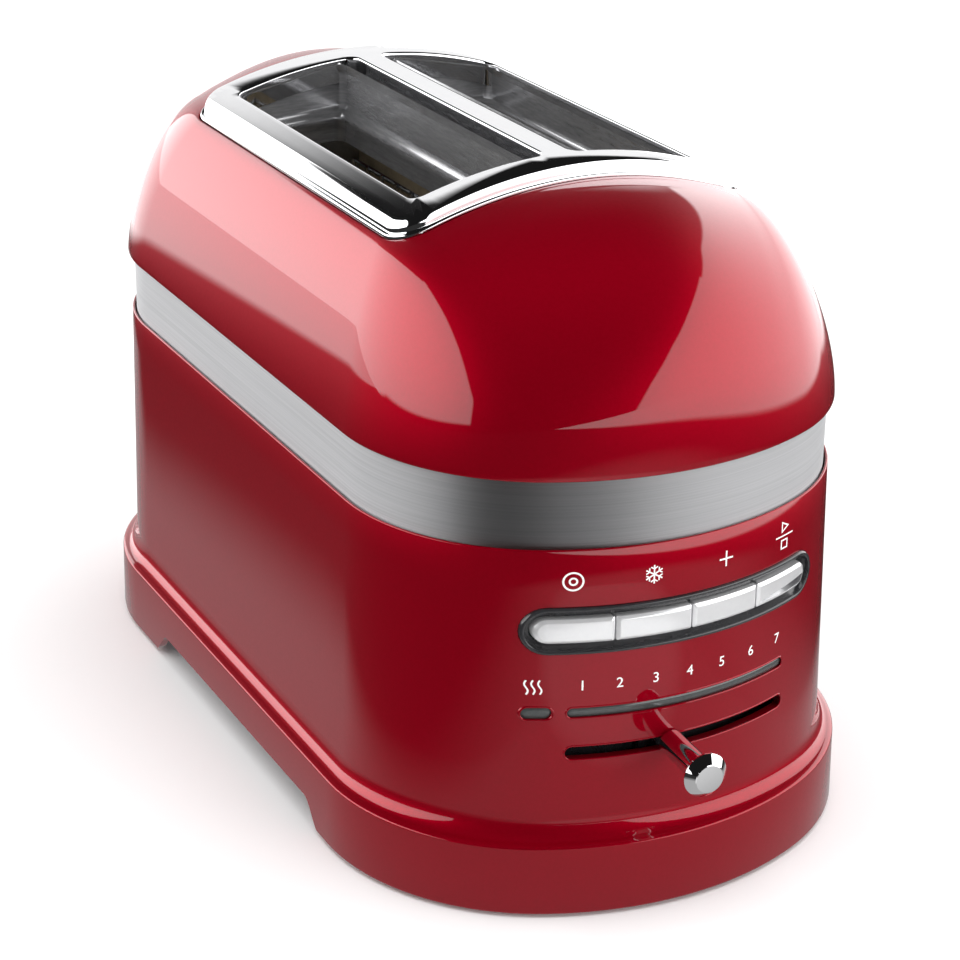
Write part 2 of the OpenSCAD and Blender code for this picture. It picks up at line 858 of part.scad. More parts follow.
module control_board() {
  color("darkgreen") translate([-52, 96, pan_top]) cube([104, 1.6, 92]);
}
module relay() {
  color("steelblue") translate([10, 97.6, 84]) cube([28, 15, 12]);
}
module transformer() {
  color("goldenrod") {
    translate([-42, 106, pan_top]) cube([34, 26, 28]);
    translate([-37, 102, pan_top + 6]) cube([24, 34, 16]);
  }
}
module terminal_block() {
  color("ivory") translate([14, 116, pan_top]) cube([26, 12, 14]);
}

// Strain relief bush in the rear wall, where a mains cord would leave.
module cord_gland() {
  wall_y = body_l / 2 + draft;
  color("black")
    translate([0, 0, gland_z])
      difference() {
        union() {
          translate([0, wall_y + 5, 0]) rotate([90, 0, 0]) cylinder(h = 16, r = gland_r - run_gap);
          translate([0, wall_y + 5, 0]) rotate([90, 0, 0]) cylinder(h = 5.05, r = gland_flange_r);
          translate([0, wall_y - 4, 0]) rotate([90, 0, 0]) cylinder(h = 7, r = gland_flange_r);
        }
        translate([0, wall_y + 6, 0]) rotate([90, 0, 0]) cylinder(h = 20, r = 3.6);
      }
}

module tray_rails() {
  color("silver")
    for (s = [0, 1])
      mirror([s, 0, 0])
        translate([0, tray_y[1] - 2, cover_z + cover_t])
          rotate([90, 0, 0])
            linear_extrude(height = tray_y[1] - tray_y[0] - 4)
              polygon([
                [tray_half - 6, 0], [tray_half + 1.6, 0], [tray_half + 1.6, 8],
                [tray_half + 0.4, 8], [tray_half + 0.4, 1.2], [tray_half - 6, 1.2]
              ]);
}

module crumb_tray() {
  color("silver")
    difference() {
      translate([-tray_half, tray_y[0], tray_z]) cube([2 * tray_half, tray_y[1] - tray_y[0], tray_h]);
      translate([-tray_half + 1, tray_y[0] + 1, tray_z + 1])
        cube([2 * tray_half - 2, tray_y[1] - tray_y[0] - 2, tray_h]);
    }
}

// The curved panel that closes the tray opening in the skirt, with a grip under its top edge.
module tray_front() {
  color("firebrick")
    difference() {
      intersection() {
        translate([0, 0, tray_front_z[0]])
          linear_extrude(height = tray_front_z[1] - tray_front_z[0])
            difference() {
              outline(flare - 0.4);
              outline(flare - wall - 0.4);
            }
        translate([-tray_front_half, 120, 0]) cube([2 * tray_front_half, 60, 60]);
      }
      translate([0, body_l / 2 + flare + 6, tray_front_z[0] - 4]) cylinder(h = 10, r = 14);
    }
  color("firebrick")
    difference() {
      translate([-tray_half + 2, tray_y[1], tray_z]) cube([2 * tray_half - 4, 16, 4]);
      difference() {
        translate([-far / 2, 0, 0]) cube([far, far, far]);
        translate([0, 0, -1]) linear_extrude(height = far) outline(flare - wall - 0.2);
      }
    }
}

module placed() {
  translate([0, y_shift, 0]) children();
}

placed() {
  lower_housing();
  steel_band();
  upper_shell();
  slot_bezel();
  slot_liner_left();
  slot_liner_right();
  bottom_cover();
  rubber_feet();
  base_screws();
  chassis_pan();
  chassis_screws();
  front_bulkhead();
  rear_bulkhead();
  heat_shield_left();
  heat_shield_right();
  heater_left();
  heater_centre();
  heater_right();
  heater_ribbons();
  guard_left_outer();
  guard_left_inner();
  guard_right_inner();
  guard_right_outer();
  carriage_plate();
  bread_rack_left();
  bread_rack_right();
  lift_rack();
  guide_rods();
  rod_bracket();
  drive_pinion();
  drive_gear();
  motor_pinion();
  lift_motor();
  motor_bracket();
  button_bezel();
  bagel_button();
  frozen_button();
  longer_button();
  toast_button();
  board_bracket();
  button_board();
  tact_switches();
  scale_lamps();
  light_guide();
  keep_warm_lens();
  slider_track();
  slider_carrier();
  slider_shank();
  slider_knob();
  control_board();
  relay();
  transformer();
  terminal_block();
  cord_gland();
  tray_rails();
  crumb_tray();
  tray_front();
}
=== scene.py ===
from math import atan2, cos, pi, radians, sin, sqrt

import bmesh
import bpy
from mathutils import Matrix, Vector
from mathutils.bvhtree import BVHTree


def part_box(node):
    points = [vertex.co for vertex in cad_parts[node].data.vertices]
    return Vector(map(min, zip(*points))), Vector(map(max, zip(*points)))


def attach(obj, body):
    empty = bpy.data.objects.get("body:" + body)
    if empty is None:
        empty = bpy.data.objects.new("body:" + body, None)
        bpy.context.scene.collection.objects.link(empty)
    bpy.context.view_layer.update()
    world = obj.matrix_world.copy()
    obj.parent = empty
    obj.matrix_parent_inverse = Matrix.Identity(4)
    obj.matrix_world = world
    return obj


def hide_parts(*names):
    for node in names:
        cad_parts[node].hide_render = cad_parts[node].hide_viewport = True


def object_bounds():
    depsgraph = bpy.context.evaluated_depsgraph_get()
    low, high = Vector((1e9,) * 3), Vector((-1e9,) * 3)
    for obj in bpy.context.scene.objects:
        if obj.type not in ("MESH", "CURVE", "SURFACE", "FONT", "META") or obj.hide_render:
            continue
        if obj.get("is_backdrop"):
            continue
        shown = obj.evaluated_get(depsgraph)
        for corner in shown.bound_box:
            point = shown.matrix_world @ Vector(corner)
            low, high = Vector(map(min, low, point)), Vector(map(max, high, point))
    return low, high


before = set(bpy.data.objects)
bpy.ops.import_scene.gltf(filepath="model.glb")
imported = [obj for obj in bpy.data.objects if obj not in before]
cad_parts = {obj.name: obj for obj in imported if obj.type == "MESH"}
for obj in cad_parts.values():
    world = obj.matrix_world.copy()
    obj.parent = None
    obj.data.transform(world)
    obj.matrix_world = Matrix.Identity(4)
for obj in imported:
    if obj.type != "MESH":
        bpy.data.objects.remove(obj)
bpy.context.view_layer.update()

# ---------------------------------------------------------------------------------------------
# Viewpoint: a long lens in front of the left front corner, looking a little down on the top.
# Nothing is built here. The distance and lens keep the sides of the body nearly parallel.
MM = 0.001
VIEW_AZIMUTH, VIEW_ELEVATION, VIEW_ROLL = radians(-27.2), radians(22.58), radians(0.41)
VIEW_TARGET = Vector((0, 9.62 * MM, 96 * MM))
VIEW_DISTANCE = 0.91364
back = Vector((
    sin(VIEW_AZIMUTH) * cos(VIEW_ELEVATION),
    -cos(VIEW_AZIMUTH) * cos(VIEW_ELEVATION),
    sin(VIEW_ELEVATION),
))
level = Vector((cos(VIEW_AZIMUTH), sin(VIEW_AZIMUTH), 0))
upright = back.cross(level)
across = level * cos(VIEW_ROLL) + upright * sin(VIEW_ROLL)
lens = bpy.data.cameras.new("studio_camera")
lens.lens = 94.31
lens.sensor_width = 36
lens.shift_x = 0.0272
lens.shift_y = -0.0405
lens.clip_start, lens.clip_end = 0.05, 60
camera = bpy.data.objects.new("studio_camera", lens)
camera.matrix_world = Matrix.Translation(VIEW_TARGET + back * VIEW_DISTANCE) @ Matrix((
    across, back.cross(across), back)).transposed().to_4x4()
bpy.context.scene.collection.objects.link(camera)
bpy.context.scene.camera = camera

# ---------------------------------------------------------------------------------------------
# Lower housing: one zinc casting, finished in candy red lacquer over a bright base coat.
# It is drawn as one wall profile carried round the plan outline: skirt, shoulder, concave
# fillet, slightly leaning wall and a thin rolled lip that holds the steel band.
END_R, CORNER_DROP, RUN, RISE, SLANT = 106, 37.4, 36, 77, 85
CORNER_R = END_R - CORNER_DROP
END_CY = 55.7
CORNER_X, CORNER_Y = CORNER_DROP * RUN / SLANT, END_CY + CORNER_DROP * RISE / SLANT
HALF_W = CORNER_X + CORNER_R
END_HALF = atan2(RUN, RISE)
DRAFT, FLARE, WALL = 2, 8.3, 3
LIP_Z, SHOULDER_Z, FILLET_Z = 125, 25.5, 34
MID_Y = (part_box("steel_band")[0].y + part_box("steel_band")[1].y) / 2


def quarter(side, corner, end):
    """Places along a quarter of the plan outline: straight side, corner arc, end arc."""
    return (
        [(0, i / side) for i in range(side)]
        + [(1, i / corner) for i in range(corner)]
        + [(2, i / end) for i in range(end + 1)]
    )


def heading(place):
    """Angle of the outline's outward direction at a place."""
    part, t = place
    return 0 if part == 0 else (pi / 2 - END_HALF) * t if part == 1 else pi / 2 - END_HALF * (1 - t)


def plan_point(place, grow):
    """The point of the plan outline at a place, moved outwards by grow."""
    part, t = place
    a = heading(place)
    if part == 0:
        return (HALF_W + grow, CORNER_Y * t)
    if part == 1:
        return (CORNER_X + (CORNER_R + grow) * cos(a), CORNER_Y + (CORNER_R + grow) * sin(a))
    return ((END_R + grow) * cos(a), END_CY + (END_R + grow) * sin(a))


def all_round(points):
    """Mirrors a quarter of an outline into the whole closed outline."""
    left = [(-x, *rest) for x, *rest in points[-2::-1]]
    left_front = [(-x, -y, *rest) for x, y, *rest in points[1:]]
    right_front = [(x, -y, *rest) for x, y, *rest in points[-2:0:-1]]
    return list(points) + left + left_front + right_front


def plan_row(where, grow, z):
    """The plan outline at one height, moved outwards by grow."""
    return all_round([(*plan_point(p, grow), z) for p in where])


def new_piece(name, bm, sharp=32):
    """Turns a mesh drawn in millimetres about the body's middle into an object in the frame."""
    bmesh.ops.remove_doubles(bm, verts=bm.verts, dist=1e-5)
    bmesh.ops.recalc_face_normals(bm, faces=bm.faces)
    for v in bm.verts:
        v.co = Vector((v.co.x * MM, v.co.y * MM + MID_Y, v.co.z * MM))
    mesh = bpy.data.meshes.new(name)
    bm.to_mesh(mesh)
    bm.free()
    mesh.shade_smooth()
    mesh.set_sharp_from_angle(angle=radians(sharp))
    piece = bpy.data.objects.new(name, mesh)
    bpy.context.scene.collection.objects.link(piece)
    return piece


def loft(name, rows, wrap=True, sharp=32):
    """Skins closed loops of points, row after row. The last row meets the first if wrap is set,
    and otherwise a flat face closes each end."""
    bm = bmesh.new()
    grid = [[bm.verts.new(p) for p in row] for row in rows]
    n = len(grid[0])
    for a, b in zip(grid, grid[1:] + (grid[:1] if wrap else [])):
        for i in range(n):
            bm.faces.new((a[i], a[(i + 1) % n], b[(i + 1) % n], b[i]))
    if not wrap:
        bm.faces.new(grid[0])
        bm.faces.new(grid[-1])
    return new_piece(name, bm, sharp)


def arc(cx, cz, rx, rz, start, stop, steps):
    """Points of a quarter ellipse in the plane of a wall profile, angles in degrees."""
    return [
        (cx + rx * cos(radians(start + (stop - start) * i / steps)),
         cz + rz * sin(radians(start + (stop - start) * i / steps)))
        for i in range(steps + 1)
    ]


def prism(outline, y_low, y_high):
    """A closed block with an outline in X and Z, running along Y."""
    bm = bmesh.new()
    near = [bm.verts.new((x, y_low, z)) for x, z in outline]
    far = [bm.verts.new((x, y_high, z)) for x, z in outline]
    n = len(outline)
    bm.faces.new(near)
    bm.faces.new(far[::-1])
    for i in range(n):
        bm.faces.new((near[i], near[(i + 1) % n], far[(i + 1) % n], far[i]))
    return new_piece("cutter", bm)


def stadium(half_l, half_h, x=0.0, z=0.0, steps=12):
    """A slot with round ends, as points in X and Z."""
    run = half_l - half_h
    right = [(x + run + half_h * cos(a), z + half_h * sin(a))
             for a in (-pi / 2 + pi * i / steps for i in range(steps + 1))]
    return right + [(2 * x - px, 2 * z - pz) for px, pz in right]


SAME_SKIN, SAME_FACING, SAME_SIDE = 2e-5, 0.97, 0.9


def carve(piece, cutters):
    """Cuts openings, then gives the untouched skin back its own smooth normals."""
    skin = piece.data.copy()
    tree = BVHTree.FromObject(piece, bpy.context.evaluated_depsgraph_get())
    for cutter in cutters:
        step = piece.modifiers.new("opening", "BOOLEAN")
        step.operation, step.solver, step.object = "DIFFERENCE", "EXACT", cutter
    bpy.context.view_layer.update()
    cut = bpy.data.meshes.new_from_object(
        piece.evaluated_get(bpy.context.evaluated_depsgraph_get()))
    piece.modifiers.clear()
    piece.data = cut
    for cutter in cutters:
        bpy.data.objects.remove(cutter)
    cut.shade_smooth()
    cut.set_sharp_from_angle(angle=radians(32))
    corner_normals = [n.vector.copy() for n in skin.corner_normals]
    normals = [n.vector.copy() for n in cut.corner_normals]
    for face in cut.polygons:
        spot, facing, index, gap = tree.find_nearest(face.center)
        if gap > SAME_SKIN or facing.dot(face.normal) < SAME_FACING:
            continue
        for loop in face.loop_indices:
            point = cut.vertices[cut.loops[loop].vertex_index].co
            spot, facing, near, gap = tree.find_nearest(point + face.normal * 1e-6)
            source = skin.polygons[near]
            if facing.dot(face.normal) < SAME_SIDE:
                source = skin.polygons[index]
            total, summed = 0.0, Vector()
            for corner in source.loop_indices:
                away = (skin.vertices[skin.loops[corner].vertex_index].co - point).length
                total += 1 / (away + 1e-7)
                summed += corner_normals[corner] / (away + 1e-7)
            normals[loop] = blend_normal(skin, source, corner_normals, point) or summed / total
    cut.normals_split_custom_set([n.normalized() for n in normals])
    return piece


def blend_normal(skin, face, corner_normals, point):
    """The smooth normal of a four sided face at a point on it, by its two running edges."""
    if len(face.vertices) != 4:
        return None
    p = [skin.vertices[v].co for v in face.vertices]
    n = [corner_normals[c] for c in face.loop_indices]
    across_a = (p[1] - p[0]).length + (p[2] - p[3]).length
    across_b = (p[3] - p[0]).length + (p[2] - p[1]).length
    u_axis, v_axis = (p[1] - p[0] + p[2] - p[3]).normalized(), (p[3] - p[0] + p[2] - p[1]).normalized()
    middle = (p[0] + p[1] + p[2] + p[3]) / 4
    u = min(1, max(0, 0.5 + (point - middle).dot(u_axis) / (across_a / 2)))
    v = min(1, max(0, 0.5 + (point - middle).dot(v_axis) / (across_b / 2)))
    return (n[0] * (1 - u) + n[1] * u) * (1 - v) + (n[3] * (1 - u) + n[2] * u) * v


def node_group(name, inputs, outputs):
    """An empty shader group with named sockets, its input and output nodes ready to wire."""
    group = bpy.data.node_groups.new(name, "ShaderNodeTree")
    for label, kind, value in inputs:
        socket = group.interface.new_socket(label, in_out="INPUT", socket_type=kind)
        socket.default_value = value
    for label, kind in outputs:
        group.interface.new_socket(label, in_out="OUTPUT", socket_type=kind)
    return group, group.nodes.new("NodeGroupInput"), group.nodes.new("NodeGroupOutput")


def wire(tree, kind, settings=None, **links):
    """Adds a node, sets its properties, and links or sets its inputs by name."""
    node = tree.nodes.new(kind)
    for key, value in (settings or {}).items():
        setattr(node, key, value)
    for key, value in links.items():
        socket = node.inputs[int(key[1:])] if key[0] == "_" else node.inputs[key.replace("__", " ")]
        if isinstance(value, bpy.types.NodeSocket):
            tree.links.new(value, socket)
        else:
            socket.default_value = value
    return node


FLOAT, COLOUR, VECTOR = "NodeSocketFloat", "NodeSocketColor", "NodeSocketVector"

# Fine variation that every finish shares: two noises tint the colour, vary the gloss and
# give a height for a bump. Stretch draws the noise out along any axis.
texture, t_in, t_out = node_group(
    "surface_variation",
    [("Scale", FLOAT, 60.0), ("Stretch", VECTOR, (1, 1, 1)), ("Colour", COLOUR, (0.5, 0.5, 0.5, 1)),
     ("Second Colour", COLOUR, (0.4, 0.4, 0.4, 1)), ("Contrast", FLOAT, 0.5),
     ("Gloss Low", FLOAT, 0.2), ("Gloss High", FLOAT, 0.3)],
    [("Colour", COLOUR), ("Roughness", FLOAT), ("Height", FLOAT)],
)
place = wire(texture, "ShaderNodeTexCoord")
drawn = wire(texture, "ShaderNodeVectorMath", {"operation": "MULTIPLY"},
             _0=place.outputs["Object"], _1=t_in.outputs["Stretch"])
broad = wire(texture, "ShaderNodeTexNoise", Vector=drawn.outputs[0], Scale=t_in.outputs["Scale"],
             Detail=4.0, Roughness=0.6)
finer = wire(texture, "ShaderNodeMath", {"operation": "MULTIPLY"}, _0=t_in.outputs["Scale"], _1=7.3)
fine = wire(texture, "ShaderNodeTexNoise", Vector=drawn.outputs[0], Scale=finer.outputs[0], Detail=2.0)
both = wire(texture, "ShaderNodeMath", {"operation": "ADD"}, _0=broad.outputs["Fac"], _1=fine.outputs["Fac"])
spread = wire(texture, "ShaderNodeMath", {"operation": "MULTIPLY_ADD"}, _0=both.outputs[0], _1=1.4, _2=-0.9)
clear = wire(texture, "ShaderNodeClamp", Value=spread.outputs[0])
share = wire(texture, "ShaderNodeMath", {"operation": "MULTIPLY"},
             _0=clear.outputs[0], _1=t_in.outputs["Contrast"])
tint = wire(texture, "ShaderNodeMix", {"data_type": "RGBA"})
texture.links.new(share.outputs[0], tint.inputs["Factor"])
texture.links.new(t_in.outputs["Colour"], tint.inputs[6])
texture.links.new(t_in.outputs["Second Colour"], tint.inputs[7])
gloss = wire(texture, "ShaderNodeMapRange", Value=broad.outputs["Fac"])
texture.links.new(t_in.outputs["Gloss Low"], gloss.inputs["To Min"])
texture.links.new(t_in.outputs["Gloss High"], gloss.inputs["To Max"])
texture.links.new(tint.outputs[2], t_out.inputs["Colour"])
texture.links.new(gloss.outputs[0], t_out.inputs["Roughness"])
texture.links.new(fine.outputs["Fac"], t_out.inputs["Height"])


def grouped(name, group, settings, bump, bump_depth, shader):
    """A material of one shader. Its colour, roughness and bump come from a group of nodes."""
    material = bpy.data.materials.new(name)
    material.use_nodes = True
    tree = material.node_tree
    surface = tree.nodes["Principled BSDF"]
    marks = tree.nodes.new("ShaderNodeGroup")
    marks.node_tree = group
    for label, value in settings.items():
        marks.inputs[label].default_value = value
    tree.links.new(marks.outputs["Colour"], surface.inputs["Base Color"])
    tree.links.new(marks.outputs["Roughness"], surface.inputs["Roughness"])
    for key, value in shader.items():
        surface.inputs[key.replace("_", " ")].default_value = value
    if bump:
        relief = tree.nodes.new("ShaderNodeBump")
        relief.inputs["Strength"].default_value = bump
        relief.inputs["Distance"].default_value = bump_depth
        tree.links.new(marks.outputs["Height"], relief.inputs["Height"])
        tree.links.new(relief.outputs["Normal"], surface.inputs["Normal"])
    return material


def finish(name, colour, second, gloss_range, scale=60.0, contrast=0.5, stretch=(1, 1, 1), bump=0.0,
           bump_depth=0.0001, **shader):
    """A finish with the shared variation in its colour, gloss and bump."""
    return grouped(name, texture, {
        "Scale": scale, "Stretch": stretch, "Colour": (*colour, 1), "Second Colour": (*second, 1),
        "Contrast": contrast, "Gloss Low": gloss_range[0], "Gloss High": gloss_range[1],
    }, bump, bump_depth, shader)


def dress(pieces, material):
    """Gives a material to CAD nodes, by name, or to pieces made here."""
    for piece in pieces:
        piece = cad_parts[piece] if isinstance(piece, str) else piece
        piece.data.materials.clear()
        piece.data.materials.append(material)


def settle(piece, body, material, slot_name, *stands_for):
    """Fixes a finished piece to its body, with its material and the CAD nodes it stands for."""
    dress([piece], material)
    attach(piece, body)
    if stands_for:
        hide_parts(*stands_for)
    return piece


candy_red = finish(
    "candy_red_lacquer", (0.31, 0.0, 0.010), (0.25, 0.0, 0.006), (0.36, 0.42), scale=900.0,
    contrast=0.8, bump=0.02, bump_depth=0.00002, Metallic=0.55, Specular_IOR_Level=0.0,
    Coat_Weight=1.0, Coat_Roughness=0.015, Coat_IOR=1.5)

BUTTON_Z, LIGHT_Z, SLIDER_Z = 98, 69.8, 55.8
BEZEL_HALF, BEZEL_HALF_H = 53.4, 7.9
LIGHT_HALF, LIGHT_HALF_H = 39.9, 1.8
WINDOW_X, WINDOW_HALF, WINDOW_HALF_H = -48.4, 4.6, 2.2
SLIT_HALF, SLIT_HALF_H = 40.4, 2.35
GLAND_Z, GLAND_R = 46, 6.5

wall_profile = (
    arc(FLARE - 1.2, 2.2, 1.2, 1.2, -90, 0, 4)
    + arc(FLARE - 1.2, SHOULDER_Z - 0.8, 0.8, 0.9, 0, 80, 4)
    + [(FLARE - 1.5, SHOULDER_Z + 0.35)]
    + [(DRAFT + (FLARE - 1.7 - DRAFT) * (1 - sin(radians(t))),
        SHOULDER_Z + 0.45 + (FILLET_Z - SHOULDER_Z - 0.45) * (1 - cos(radians(t)))) for t in range(8, 91, 6)]
    + [(DRAFT * (LIP_Z - z) / (LIP_Z - FILLET_Z), z) for z in (48, 64, 80, 96, 112)]
    + arc(-0.45, LIP_Z - 0.5, 0.5, 0.5, 10, 170, 6)
    + [(-1.0, 116.8), (-WALL, 116.8), (DRAFT - WALL, FILLET_Z), (FLARE - WALL - 0.5, SHOULDER_Z - 2),
       (FLARE - WALL, 1)]
)
places = quarter(6, 26, 26)
housing = loft("housing_casting", [plan_row(places, grow, z) for grow, z in wall_profile])

ARCH_FRONT, ARCH_REAR, ARCH_EASE, ARCH_H = -84, 70, 13, 10.5
ease = [(ARCH_EASE * t / 180, (ARCH_H - 1) * (1 - cos(radians(t))) / 2) for t in range(0, 181, 12)]
arch_side = (
    [(ARCH_FRONT, -4)] + [(ARCH_FRONT + a, b + 1) for a, b in ease]
    + [(ARCH_REAR - a, b + 1) for a, b in ease[::-1]] + [(ARCH_REAR, -4)]
)


def side_cutter(side):
    """The block that cuts the low arch through one long side of the skirt."""
    cutter = prism(arch_side, 0, 6)
    middle = HALF_W + FLARE - WALL / 2
    for v in cutter.data.vertices:
        along, deep = v.co.x / MM, (v.co.y - MID_Y) / MM
        v.co.x, v.co.y = side * (middle - 3 + deep) * MM, along * MM + MID_Y
    if side > 0:
        cutter.data.flip_normals()
    return cutter


FRONT_Y, REAR_Y = (-200, -130), (130, 185)
TRAY_HALF, TRAY_LOW, TRAY_HIGH = 52.4, 7.6, 22.4
tray_hole = [(-TRAY_HALF, TRAY_LOW), (TRAY_HALF, TRAY_LOW), (TRAY_HALF, TRAY_HIGH), (-TRAY_HALF, TRAY_HIGH)]
gland_hole = [(GLAND_R * cos(2 * pi * i / 48), GLAND_Z + GLAND_R * sin(2 * pi * i / 48)) for i in range(48)]
carve(housing, [
    prism(stadium(BEZEL_HALF + 0.15, BEZEL_HALF_H + 0.15, 0, BUTTON_Z), *FRONT_Y),
    prism(stadium(LIGHT_HALF, LIGHT_HALF_H, 0, LIGHT_Z), *FRONT_Y),
    prism(stadium(WINDOW_HALF, WINDOW_HALF_H, WINDOW_X, LIGHT_Z), *FRONT_Y),
    prism(stadium(SLIT_HALF, SLIT_HALF_H, 0, SLIDER_Z), *FRONT_Y),
    prism(tray_hole, *REAR_Y),
    prism(gland_hole, *REAR_Y),
    side_cutter(-1),
    side_cutter(1),
])
settle(housing, "body", candy_red, "candy_red", "lower_housing")


def on_wall(x, z, out):
    """A point on the leaning front wall, in millimetres about the body's middle."""
    r = END_R + DRAFT * (LIP_Z - z) / (LIP_Z - FILLET_Z) + out
    return (x, -END_CY - sqrt(r * r - x * x), z)


def bead(name, outline, thick, out):
    """The soft edge that the lacquer builds up round an opening in the front wall."""
    rows = []
    n = len(outline)
    for i, (x, z) in enumerate(outline):
        ax, az = outline[i - 1]
        bx, bz = outline[(i + 1) % n]
        along = Vector((bx - ax, bz - az)).normalized()
        side_x, side_z = along.y, -along.x
        rows.append([
            on_wall(x + side_x * thick * cos(t), z + side_z * thick * cos(t), out + thick * sin(t))
            for t in (2 * pi * k / 10 for k in range(10))
        ])
    return loft(name, rows)


for name, outline in (
    ("light_slot_edge", stadium(LIGHT_HALF + 0.15, LIGHT_HALF_H + 0.15, 0, LIGHT_Z, 16)),
    ("window_slot_edge", stadium(WINDOW_HALF + 0.15, WINDOW_HALF_H + 0.15, WINDOW_X, LIGHT_Z, 16)),
    ("slider_slot_edge", stadium(SLIT_HALF + 0.15, SLIT_HALF_H + 0.15, 0, SLIDER_Z, 16)),
):
    run = []
    for i, (x, z) in enumerate(outline):
        nx, nz = outline[(i + 1) % len(outline)]
        parts = max(1, int(abs(nx - x) / 2.5))
        run += [(x + (nx - x) * k / parts, z + (nz - z) * k / parts) for k in range(parts)]
    settle(bead(name, run, 0.38, -0.2), "body", candy_red, "candy_red")

# ---------------------------------------------------------------------------------------------
# Steel band: a strip of brushed stainless steel bent round the body and set a little back
# from the red parts above and below. The brush marks run along the strip.
BAND_IN, BAND_T, BAND_LOW, BAND_HIGH = 1.5, 1.2, 117, 150.5

brushed, b_in, b_out = node_group(
    "brushed_grain",
    [("Across", VECTOR, (4, 4, 900)), ("Dark", COLOUR, (0.3, 0.3, 0.3, 1)),
     ("Light", COLOUR, (0.6, 0.6, 0.6, 1)), ("Gloss Low", FLOAT, 0.25), ("Gloss High", FLOAT, 0.4)],
    [("Colour", COLOUR), ("Roughness", FLOAT), ("Height", FLOAT)],
)
place = wire(brushed, "ShaderNodeTexCoord")
drawn = wire(brushed, "ShaderNodeVectorMath", {"operation": "MULTIPLY"},
             _0=place.outputs["Object"], _1=b_in.outputs["Across"])
marks = wire(brushed, "ShaderNodeTexNoise", Vector=drawn.outputs[0], Scale=2.0, Detail=6.0, Roughness=0.75)
lift = wire(brushed, "ShaderNodeMapRange", Value=marks.outputs["Fac"], From__Min=0.3, From__Max=0.7)
tone = wire(brushed, "ShaderNodeMix", {"data_type": "RGBA"})
brushed.links.new(lift.outputs[0], tone.inputs["Factor"])
brushed.links.new(b_in.outputs["Dark"], tone.inputs[6])
brushed.links.new(b_in.outputs["Light"], tone.inputs[7])
satin = wire(brushed, "ShaderNodeMapRange", Value=marks.outputs["Fac"])
brushed.links.new(b_in.outputs["Gloss Low"], satin.inputs["To Min"])
brushed.links.new(b_in.outputs["Gloss High"], satin.inputs["To Max"])
brushed.links.new(tone.outputs[2], b_out.inputs["Colour"])
brushed.links.new(satin.outputs[0], b_out.inputs["Roughness"])
brushed.links.new(marks.outputs["Fac"], b_out.inputs["Height"])


def brushed_finish(name, dark, light, gloss_range, grain=(4, 4, 900), bump=0.1, bump_depth=0.00002, **shader):
    """A metal with brush marks: grain is how fine they are along X, Y and Z."""
    return grouped(name, brushed, {
        "Across": grain, "Dark": (*dark, 1), "Light": (*light, 1),
        "Gloss Low": gloss_range[0], "Gloss High": gloss_range[1],
    }, bump, bump_depth, {"Metallic": 1.0, **shader})


band_steel = brushed_finish("brushed_band", (0.42, 0.42, 0.43), (0.54, 0.54, 0.55), (0.50, 0.56), bump=0.12,
                            Anisotropic=0.8, Anisotropic_Rotation=0.25)
steel_tree = band_steel.node_tree
along = wire(steel_tree, "ShaderNodeTangent", {"direction_type": "RADIAL", "axis": "Z"})
steel_tree.links.new(along.outputs[0], steel_tree.nodes["Principled BSDF"].inputs["Tangent"])
band_profile = [
    (-BAND_IN - BAND_T, BAND_LOW), (-BAND_IN - 0.1, BAND_LOW), (-BAND_IN, BAND_LOW + 0.1),
    (-BAND_IN, 128), (-BAND_IN, 139), (-BAND_IN, BAND_HIGH), (-BAND_IN - BAND_T, BAND_HIGH)
]
band = loft("band_strip", [plan_row(places, grow, z) for grow, z in band_profile])
settle(band, "body", band_steel, "brushed_band", "steel_band")

# ---------------------------------------------------------------------------------------------
# Upper shell: a deep drawn steel dome in the same red. It rises almost upright from the band,
# rolls over, and ends in an edge that drops into a narrow gap round the slot bezel.
TOP_Z, ARCH_R = 223, 154
FRAME_W, FRAME_L, FRAME_R, FRAME_STEP = 129, 174.4, 12, 5
SHELL_Z = 147.5
SIDE_FULL, END_FULL = 1.4, 2.63


def top_at(x):
    """Height of the arched top above a place across the body."""
    return TOP_Z - x * x / (2 * ARCH_R)


def frame_point(place):
    """The point of the bezel outline that a place on the plan outline rises to. Both face the
    same way round the corner; along the end the straight edge is shared out slowly at first."""
    part, t = place
    w, l = FRAME_W / 2 - FRAME_R, FRAME_L / 2 - FRAME_R
    bend = FRAME_R * END_HALF
    done = (bend + w) * t ** 2
    if part == 0:
        return (w + FRAME_R, l * t)
    if part == 2 and done > bend:
        return (w - done + bend, l + FRAME_R)
    a = heading(place) if part == 1 else pi / 2 - END_HALF + done / FRAME_R
    return (w + FRAME_R * cos(a), l + FRAME_R * sin(a))


def fullness(place):
    """How square the dome's shoulder is. It grows steadily along the outline, side to end."""
    part, t = place
    corner = CORNER_R * (pi / 2 - END_HALF)
    end = END_R * END_HALF
    walked = 0 if part == 0 else corner * t if part == 1 else corner + end * t
    return SIDE_FULL + (END_FULL - SIDE_FULL) * (1 - cos(pi * walked / (corner + end))) / 2


def dome_row(u, grow, drop):
    """One loop of the dome: u is 0 at the band and 1 at the bezel, drop sinks its upper edge."""
    row = []
    for p in shell_places:
        foot, head, n = plan_point(p, grow), frame_point(p), fullness(p)
        h = 1 - (1 - u ** n) ** (1 / n)
        row.append((
            foot[0] + (head[0] - foot[0]) * h, foot[1] + (head[1] - foot[1]) * h,
            SHELL_Z + (top_at(head[0]) - FRAME_STEP - drop - SHELL_Z) * u))
    return all_round(row)


